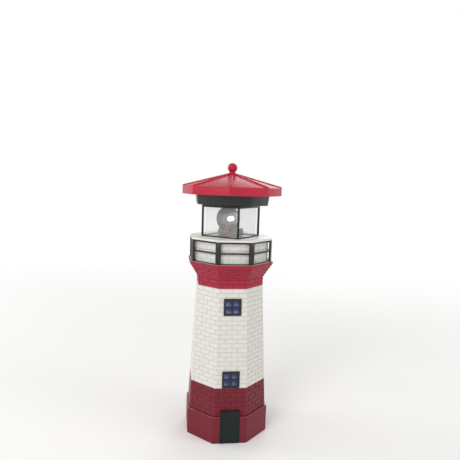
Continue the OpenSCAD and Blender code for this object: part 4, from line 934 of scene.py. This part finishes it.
# %% Door
DOOR_W, DOOR_D, DOOR_H = 19.5, 2, 34
DOOR_Y, DOOR_Z = -41.17, 17.5
PEG_R, PEG_L, PEG_X, PEG_Y = 1.2, 2.8, 4.875, -38.97
deselect()
bpy.ops.mesh.primitive_cube_add(size=1, location=(0, DOOR_Y * MM, DOOR_Z * MM),
                                scale=(DOOR_W * MM, DOOR_D * MM, DOOR_H * MM))
door = started("door_leaf")
pick("FACE", lambda f: f.normal.y < -0.9)
bpy.ops.mesh.inset(thickness=1.4 * MM, depth=0)
pick("VERT", lambda v: abs(v.co.x) < 9 * MM and 1 * MM < v.co.z < 3 * MM)
bpy.ops.transform.translate(value=(0, 0, -1.0 * MM))
pick("FACE", lambda f: f.normal.y < -0.9 and abs(f.calc_center_median().x) < MM
     and 10 * MM < f.calc_center_median().z < 30 * MM)
bpy.ops.mesh.extrude_region_move(TRANSFORM_OT_translate={"value": (0, 0.4 * MM, 0)})
bpy.ops.transform.resize(value=(0.985, 1, 0.992), center_override=(0, 0, 17 * MM))
deselect()
soften(door, 0.25, 60)
pegs = []
for x in (-PEG_X, PEG_X):
    for z in (10.35, 24.15):
        bpy.ops.mesh.primitive_cylinder_add(vertices=20, radius=PEG_R * MM, depth=PEG_L * MM,
                                            location=(x * MM, PEG_Y * MM, z * MM),
                                            rotation=(math.radians(90), 0, 0))
        pegs.append(started("peg"))
        pick("EDGE", lambda e: min(v.co.y for v in e.verts) > (PEG_Y + PEG_L / 2 - 0.13) * MM)
        bpy.ops.mesh.bevel(offset=0.3 * MM, segments=2)
        deselect()
door = joined("door_leaf", [door] + pegs)
finished(door, "tower", "door")

# %% [markdown]
# The white plate closes the drum and carries the lantern. Its edge is rounded. A rib under
# it centres it in the drum when the head is put back, and three bosses take the screws
# of the power pack.

# %% Plate under the lantern
PLATE_Z = 205.6
BOSS_AT = 23.4
plate = ring_stack("lantern_plate", SIDES,
                   [(43.45, DRUM_Z), (43.8, 203.9), (43.8, 205.25), (43.7, 205.5), (43.4, PLATE_Z),
                    (5.4, PLATE_Z), (5.4, DRUM_Z), (36.0, DRUM_Z), (36.0, 201.0), (37.4, 201.0),
                    (37.4, DRUM_Z), (43.45, DRUM_Z)], OCTAGON)
bosses = []
for angle in (30, 150, 270):
    boss = ring_stack("boss", 24, [(1.1, 199.4), (1.1, 195.4), (2.4, 195.4), (2.6, 195.6), (2.7, 203.7)])
    edit(boss)
    bpy.ops.mesh.select_all(action="SELECT")
    bpy.ops.transform.translate(value=(BOSS_AT * math.cos(math.radians(angle)) * MM,
                                       BOSS_AT * math.sin(math.radians(angle)) * MM, 0))
    deselect()
    bosses.append(boss)
plate = joined("lantern_plate", [plate] + bosses)
finished(plate, "lantern_head", "top_plate", 28)

# %% [markdown]
# The lantern is a square cage turned a few degrees from the tower: a thin foot ring, four
# slim posts on the corners and a deeper top ring that is closed above. A square is a ring
# with four corners, so the same helper makes the rings.

# %% Lantern frame
CAGE_Z = 237.8
CAGE_IN_W, CAGE_OUT_W = 20.9, 22.2
POST_PLACE, POST_MIDDLE_Z, POST_L = 29.43, 220.8, 30.4

def square_rings(name, profile):
    """A ring stack on a square; profile: half its width and height in mm."""
    return ring_stack(name, 4, [(half * math.sqrt(2), z) for half, z in profile], LANTERN_DEG)

def round_corners(piece, radius, segments):
    """Rounds the upright corners of a piece; radius in mm."""
    edit(piece)
    pick("EDGE", corner_edge)
    bpy.ops.mesh.bevel(offset=radius * MM, segments=segments)
    closed_up(piece)

foot_ring = square_rings("foot_ring", [(CAGE_IN_W, PLATE_Z), (CAGE_OUT_W, PLATE_Z), (CAGE_OUT_W, 206.8),
                                       (CAGE_IN_W, 206.8), (CAGE_IN_W, PLATE_Z)])
round_corners(foot_ring, 1.9, 3)
soften(foot_ring, 0.2, 60)
top_ring = square_rings("top_ring", [(19.2, 236.6), (19.2, 235.7), (CAGE_IN_W, 235.7), (CAGE_IN_W, 235),
                                     (CAGE_OUT_W, 235), (CAGE_OUT_W, CAGE_Z)])
round_corners(top_ring, 1.9, 3)
soften(top_ring, 0.3, 60)
deselect()
bpy.ops.mesh.primitive_cube_add(size=1, location=(POST_PLACE * MM, 0, POST_MIDDLE_Z * MM),
                                scale=(2 * MM, 2 * MM, POST_L * MM))
corner_post = started("corner_post")
deselect()
soften(corner_post, 0.35, 60, 3)
edit(corner_post)
turn_open(math.radians(LANTERN_DEG), "Z")
deselect()
corner_posts = [corner_post] + [copied(corner_post, 90 * k) for k in range(1, 4)]
cage = joined("lantern_cage", [foot_ring, top_ring] + corner_posts)
finished(cage, "lantern_head", "lantern_frame")

# %% [markdown]
# The clear sleeve stands inside the posts. Its corners are rounded, since it is one folded
# or moulded tube, and its outer rims have a tiny chamfer.

# %% Clear sleeve
TUBE_IN_W, TUBE_OUT_W, TUBE_Z = 19.4, 20.6, 235.6
tube = square_rings("clear_tube", [(20.5, PLATE_Z), (TUBE_OUT_W, 205.7), (TUBE_OUT_W, 235.5),
                                   (20.5, TUBE_Z), (TUBE_IN_W, TUBE_Z), (TUBE_IN_W, PLATE_Z),
                                   (20.5, PLATE_Z)])
round_corners(tube, 2.0, 4)
finished(tube, "lantern_head", "lantern_glazing", 28)

# %% [markdown]
# The black collar is a bucket with eight sides that widens slightly upwards. Its upright
# corners are well rounded, and in the photograph one of them carries a bright line.

# %% Collar
EAVE_Z = 247.6
COLLAR_IN_R = 37.1
collar = ring_stack("black_collar", SIDES, [(37.6, CAGE_Z), (38.0, 238.2), (39.25, 247.3), (39.0, EAVE_Z),
                                            (COLLAR_IN_R, EAVE_Z), (35.9, 239.6)], OCTAGON)
closed_up(collar)
edit(collar)
pick("EDGE", lambda e: corner_edge(e)
     and min(math.hypot(v.co.x, v.co.y) for v in e.verts) > (COLLAR_IN_R - 0.1) * MM)
bpy.ops.mesh.bevel(offset=1.0 * MM, segments=3)
deselect()
finished(collar, "lantern_head", "collar", 28)

# %% [markdown]
# The roof is a wide eight-sided hat with an upright fascia. It is hollow: the rings run
# from the inside of the peak down, round the fascia's lower edge and up outside. It is
# turned a little against the tower, because its round plug sits in the collar at any
# angle. Three rear facets have sunk fields for the solar cells, cut with four bisects each.

# %% Roof with its fascia and cell recesses
FASCIA_Z, HIPS_Z, EAVE_R = 255.6, 269.2, 50.6
RISE = HIPS_Z - FASCIA_Z
EAVE_FACE = EAVE_R * math.cos(HALF_SIDE)
SLOPE = math.atan(RISE / EAVE_FACE)
CELL_FROM, CELL_L, CELL_T = 6, 27, 0.9
CELL_GAP, FIELD_LOW_W, FIELD_HIGH_W = 0.1, 12.75, 3.8
CELL_SIDES = (3, 4, 5)
shell = ring_stack("shell", SIDES, [(3.0, 265.4), (48.4, 254.4), (48.4, EAVE_Z), (50.3, EAVE_Z),
                                    (EAVE_R, 247.9), (EAVE_R, 255.2), (50.35, 255.55), (49.9, 255.8),
                                    (3.6, 268.25)], OCTAGON + ROOF_DEG)
edit(shell)
for k in CELL_SIDES:
    turn = Matrix.Rotation(math.radians(SIDE_DEG * k + ROOF_DEG), 3, "Z")
    origin = turn @ Vector((0, -EAVE_FACE, FASCIA_Z))
    across, up = turn @ Vector((1, 0, 0)), turn @ Vector((0, math.cos(SLOPE), math.sin(SLOPE)))
    out = across.cross(up)

    def on_facet(face):
        return (face.normal.dot(out) > 0.99
                and (face.calc_center_median() / MM - origin).dot(out) > -0.6)

    cuts = [(origin + up * (CELL_FROM - CELL_GAP), up), (origin + up * (CELL_FROM + CELL_L + CELL_GAP), up)]
    for way in (across, -across):
        edge = up * CELL_L + way * (FIELD_HIGH_W - FIELD_LOW_W)
        cuts.append((origin + up * CELL_FROM + way * FIELD_LOW_W, edge.normalized().cross(out)))
    for place, normal in cuts:
        pick("FACE", on_facet)
        bpy.ops.mesh.bisect(plane_co=place * MM, plane_no=normal, threshold=1e-7)
    middle = origin + up * (CELL_FROM + CELL_L / 2)
    pick("FACE", lambda f: on_facet(f) and (f.calc_center_median() / MM - middle).length < 4)
    bpy.ops.mesh.extrude_region_move(TRANSFORM_OT_translate={"value": tuple(-out * CELL_T * MM)})
closed_up(shell)
edit(shell)
pick("EDGE", lambda e: abs(e.verts[0].co.z - e.verts[1].co.z) > 6.5 * MM
     and math.hypot(e.verts[0].co.x, e.verts[0].co.y) > (EAVE_R - 0.2) * MM
     and max(v.co.z for v in e.verts) < (FASCIA_Z + 0.4) * MM)
bpy.ops.mesh.bevel(offset=0.6 * MM, segments=3)
deselect()

# %% [markdown]
# A raised rib runs down every hip and the fascia hangs from their ends. One rib is a long
# bar with a rounded back, tilted to the hip's slope and copied round. The plug that goes
# into the collar is a plain tube.

# %% Hip ribs and plug
RIB_W, RIB_T, RIB_RAISED = 3, 1.7, 0.15
hip_slope = math.atan(RISE / EAVE_R)
rib_from, rib_to = 2.8, EAVE_R / math.cos(hip_slope) - 0.6
deselect()
bpy.ops.mesh.primitive_cube_add(size=1, location=((rib_from + rib_to) / 2 * MM, 0, RIB_RAISED * MM),
                                scale=((rib_to - rib_from) * MM, RIB_W * MM, RIB_T * MM))
rib = started("hip_rib")
pick("EDGE", lambda e: e.verts[0].co.z > 0 and e.verts[1].co.z > 0
     and abs(e.verts[0].co.x - e.verts[1].co.x) > 10 * MM)
bpy.ops.mesh.bevel(offset=1.1 * MM, segments=4)
pick("EDGE", lambda e: abs(e.verts[0].co.x - e.verts[1].co.x) < 0.01 * MM
     and e.verts[0].co.x > 10 * MM and min(e.verts[0].co.z, e.verts[1].co.z) > -0.2 * MM)
bpy.ops.mesh.bevel(offset=0.35 * MM, segments=2)
turn_open(hip_slope, "Y")
bpy.ops.transform.translate(value=(0, 0, HIPS_Z * MM))
deselect()
rib_low = min(v.co.z for v in rib.data.vertices) / MM
print("the rib falls towards the eave, to mm:", round(rib_low, 1))
edit(rib)
turn_open(math.radians(OCTAGON + ROOF_DEG), "Z")
deselect()
ribs = [rib] + [copied(rib, SIDE_DEG * k) for k in range(1, SIDES)]
PLUG_IN_R, PLUG_OUT_R, PLUG_Z = 31.1, 32.9, 243.6
plug = ring_stack("plug", 64, [(PLUG_IN_R, PLUG_Z), (32.6, PLUG_Z), (PLUG_OUT_R, 243.9),
                               (PLUG_OUT_R, 258.0), (PLUG_IN_R, 258.0), (PLUG_IN_R, PLUG_Z)])
roof = joined("red_roof", [shell, plug] + ribs)
finished(roof, "lantern_head", "roof", 28)

# %% [markdown]
# Each solar cell is a thin plate in its recess, flush with the facet. The ball on top is
# turned as one piece with its neck and flared foot, and ends in a peg below.

# %% Solar cells and ball
CELL_LOW_W, CELL_HIGH_W = 12.64, 3.7
CELL_MIDDLE = CELL_FROM + CELL_L / 2
cells = []
for k in CELL_SIDES:
    deselect()
    bpy.ops.mesh.primitive_cube_add(size=1, location=(0, CELL_MIDDLE * MM, -CELL_T / 2 * MM),
                                    scale=(2 * CELL_LOW_W * MM, CELL_L * MM, CELL_T * MM))
    cell = started("cell")
    pick("VERT", lambda v: v.co.y > CELL_MIDDLE * MM)
    bpy.ops.transform.resize(value=(CELL_HIGH_W / CELL_LOW_W, 1, 1), center_override=(0, 0, 0))
    deselect()
    soften(cell, 0.12, 60, 1)
    edit(cell)
    turn_open(SLOPE, "X")
    bpy.ops.transform.translate(value=(0, -EAVE_FACE * MM, FASCIA_Z * MM))
    turn_open(math.radians(SIDE_DEG * k + ROOF_DEG), "Z")
    deselect()
    cells.append(cell)
    print("the cell rises up its facet, to mm:", round(max(v.co.z for v in cell.data.vertices) / MM, 1))
finished(joined("cell_plates", cells), "lantern_head", "solar_cells", 20)

BALL_R, BALL_Z = 4.9, 274.5
ball_rings = [(BALL_R * math.sin(math.radians(a)), BALL_Z - BALL_R * math.cos(math.radians(a)))
              for a in range(32, 180, 8)]
ball = ring_stack("roof_ball", 40, [(1.6, 264.6), (1.6, HIPS_Z), (3.5, HIPS_Z), (3.42, 269.6),
                                    (3.0, 270.15), (2.7, 270.4)] + ball_rings[1:])
finished(ball, "lantern_head", "finial", 40)

# %% [markdown]
# The reflector is a shallow bowl like that of a torch, stacked from a short profile that
# follows a parabola, and its rim is folded over. The lamp sits in its middle: a dome on a
# short round body. Both lie on the beam's axis, so each is made upright and tipped over.

# %% Reflector and lamp
MOUTH_Y, BEACON_DEG = 7.5, -32
REFLECTOR_R, REFLECTOR_D, REFLECTOR_T = 12.2, 10, 0.8
LAMP_L = 8.6

def on_beam(piece):
    """Tips an upright piece onto the beam's axis and turns it with the beacon."""
    edit(piece)
    turn_open(math.radians(-90), "X")
    bpy.ops.transform.translate(value=(0, -MOUTH_Y * MM, BEAM_Z * MM))
    turn_open(math.radians(BEACON_DEG), "Z")
    deselect()

def bowl(r):
    """Height of the bowl's inside over its mouth at a radius, both in mm."""
    return REFLECTOR_D * (1 - (r / REFLECTOR_R) ** 2)

bowl_radii = [2.7, 4, 5.5, 7, 8.5, 10, 11.2, REFLECTOR_R]
inside = [(r, bowl(r)) for r in bowl_radii]
outside = [(r + REFLECTOR_T * r / REFLECTOR_R, bowl(r) + REFLECTOR_T) for r in reversed(bowl_radii[:-1])]
dish = ring_stack("lamp_bowl", 56, inside + [(12.6, 0.0), (12.97, 0.15), (13.0, 0.7)] + outside
                  + [inside[0]])
on_beam(dish)
finished(dish, "beacon", "reflector", 50)

lamp_end = REFLECTOR_D + REFLECTOR_T
dome_middle = lamp_end - LAMP_L + LAMP_R
dome = [(LAMP_R * math.sin(math.radians(a)), dome_middle - LAMP_R * math.cos(math.radians(a)))
        for a in range(12, 91, 13)]
lens = ring_stack("lamp_dome", 32, dome + [(LAMP_R, 9.7), (LAMP_R, lamp_end)])
on_beam(lens)
finished(lens, "beacon", "led", 50)

# %% [markdown]
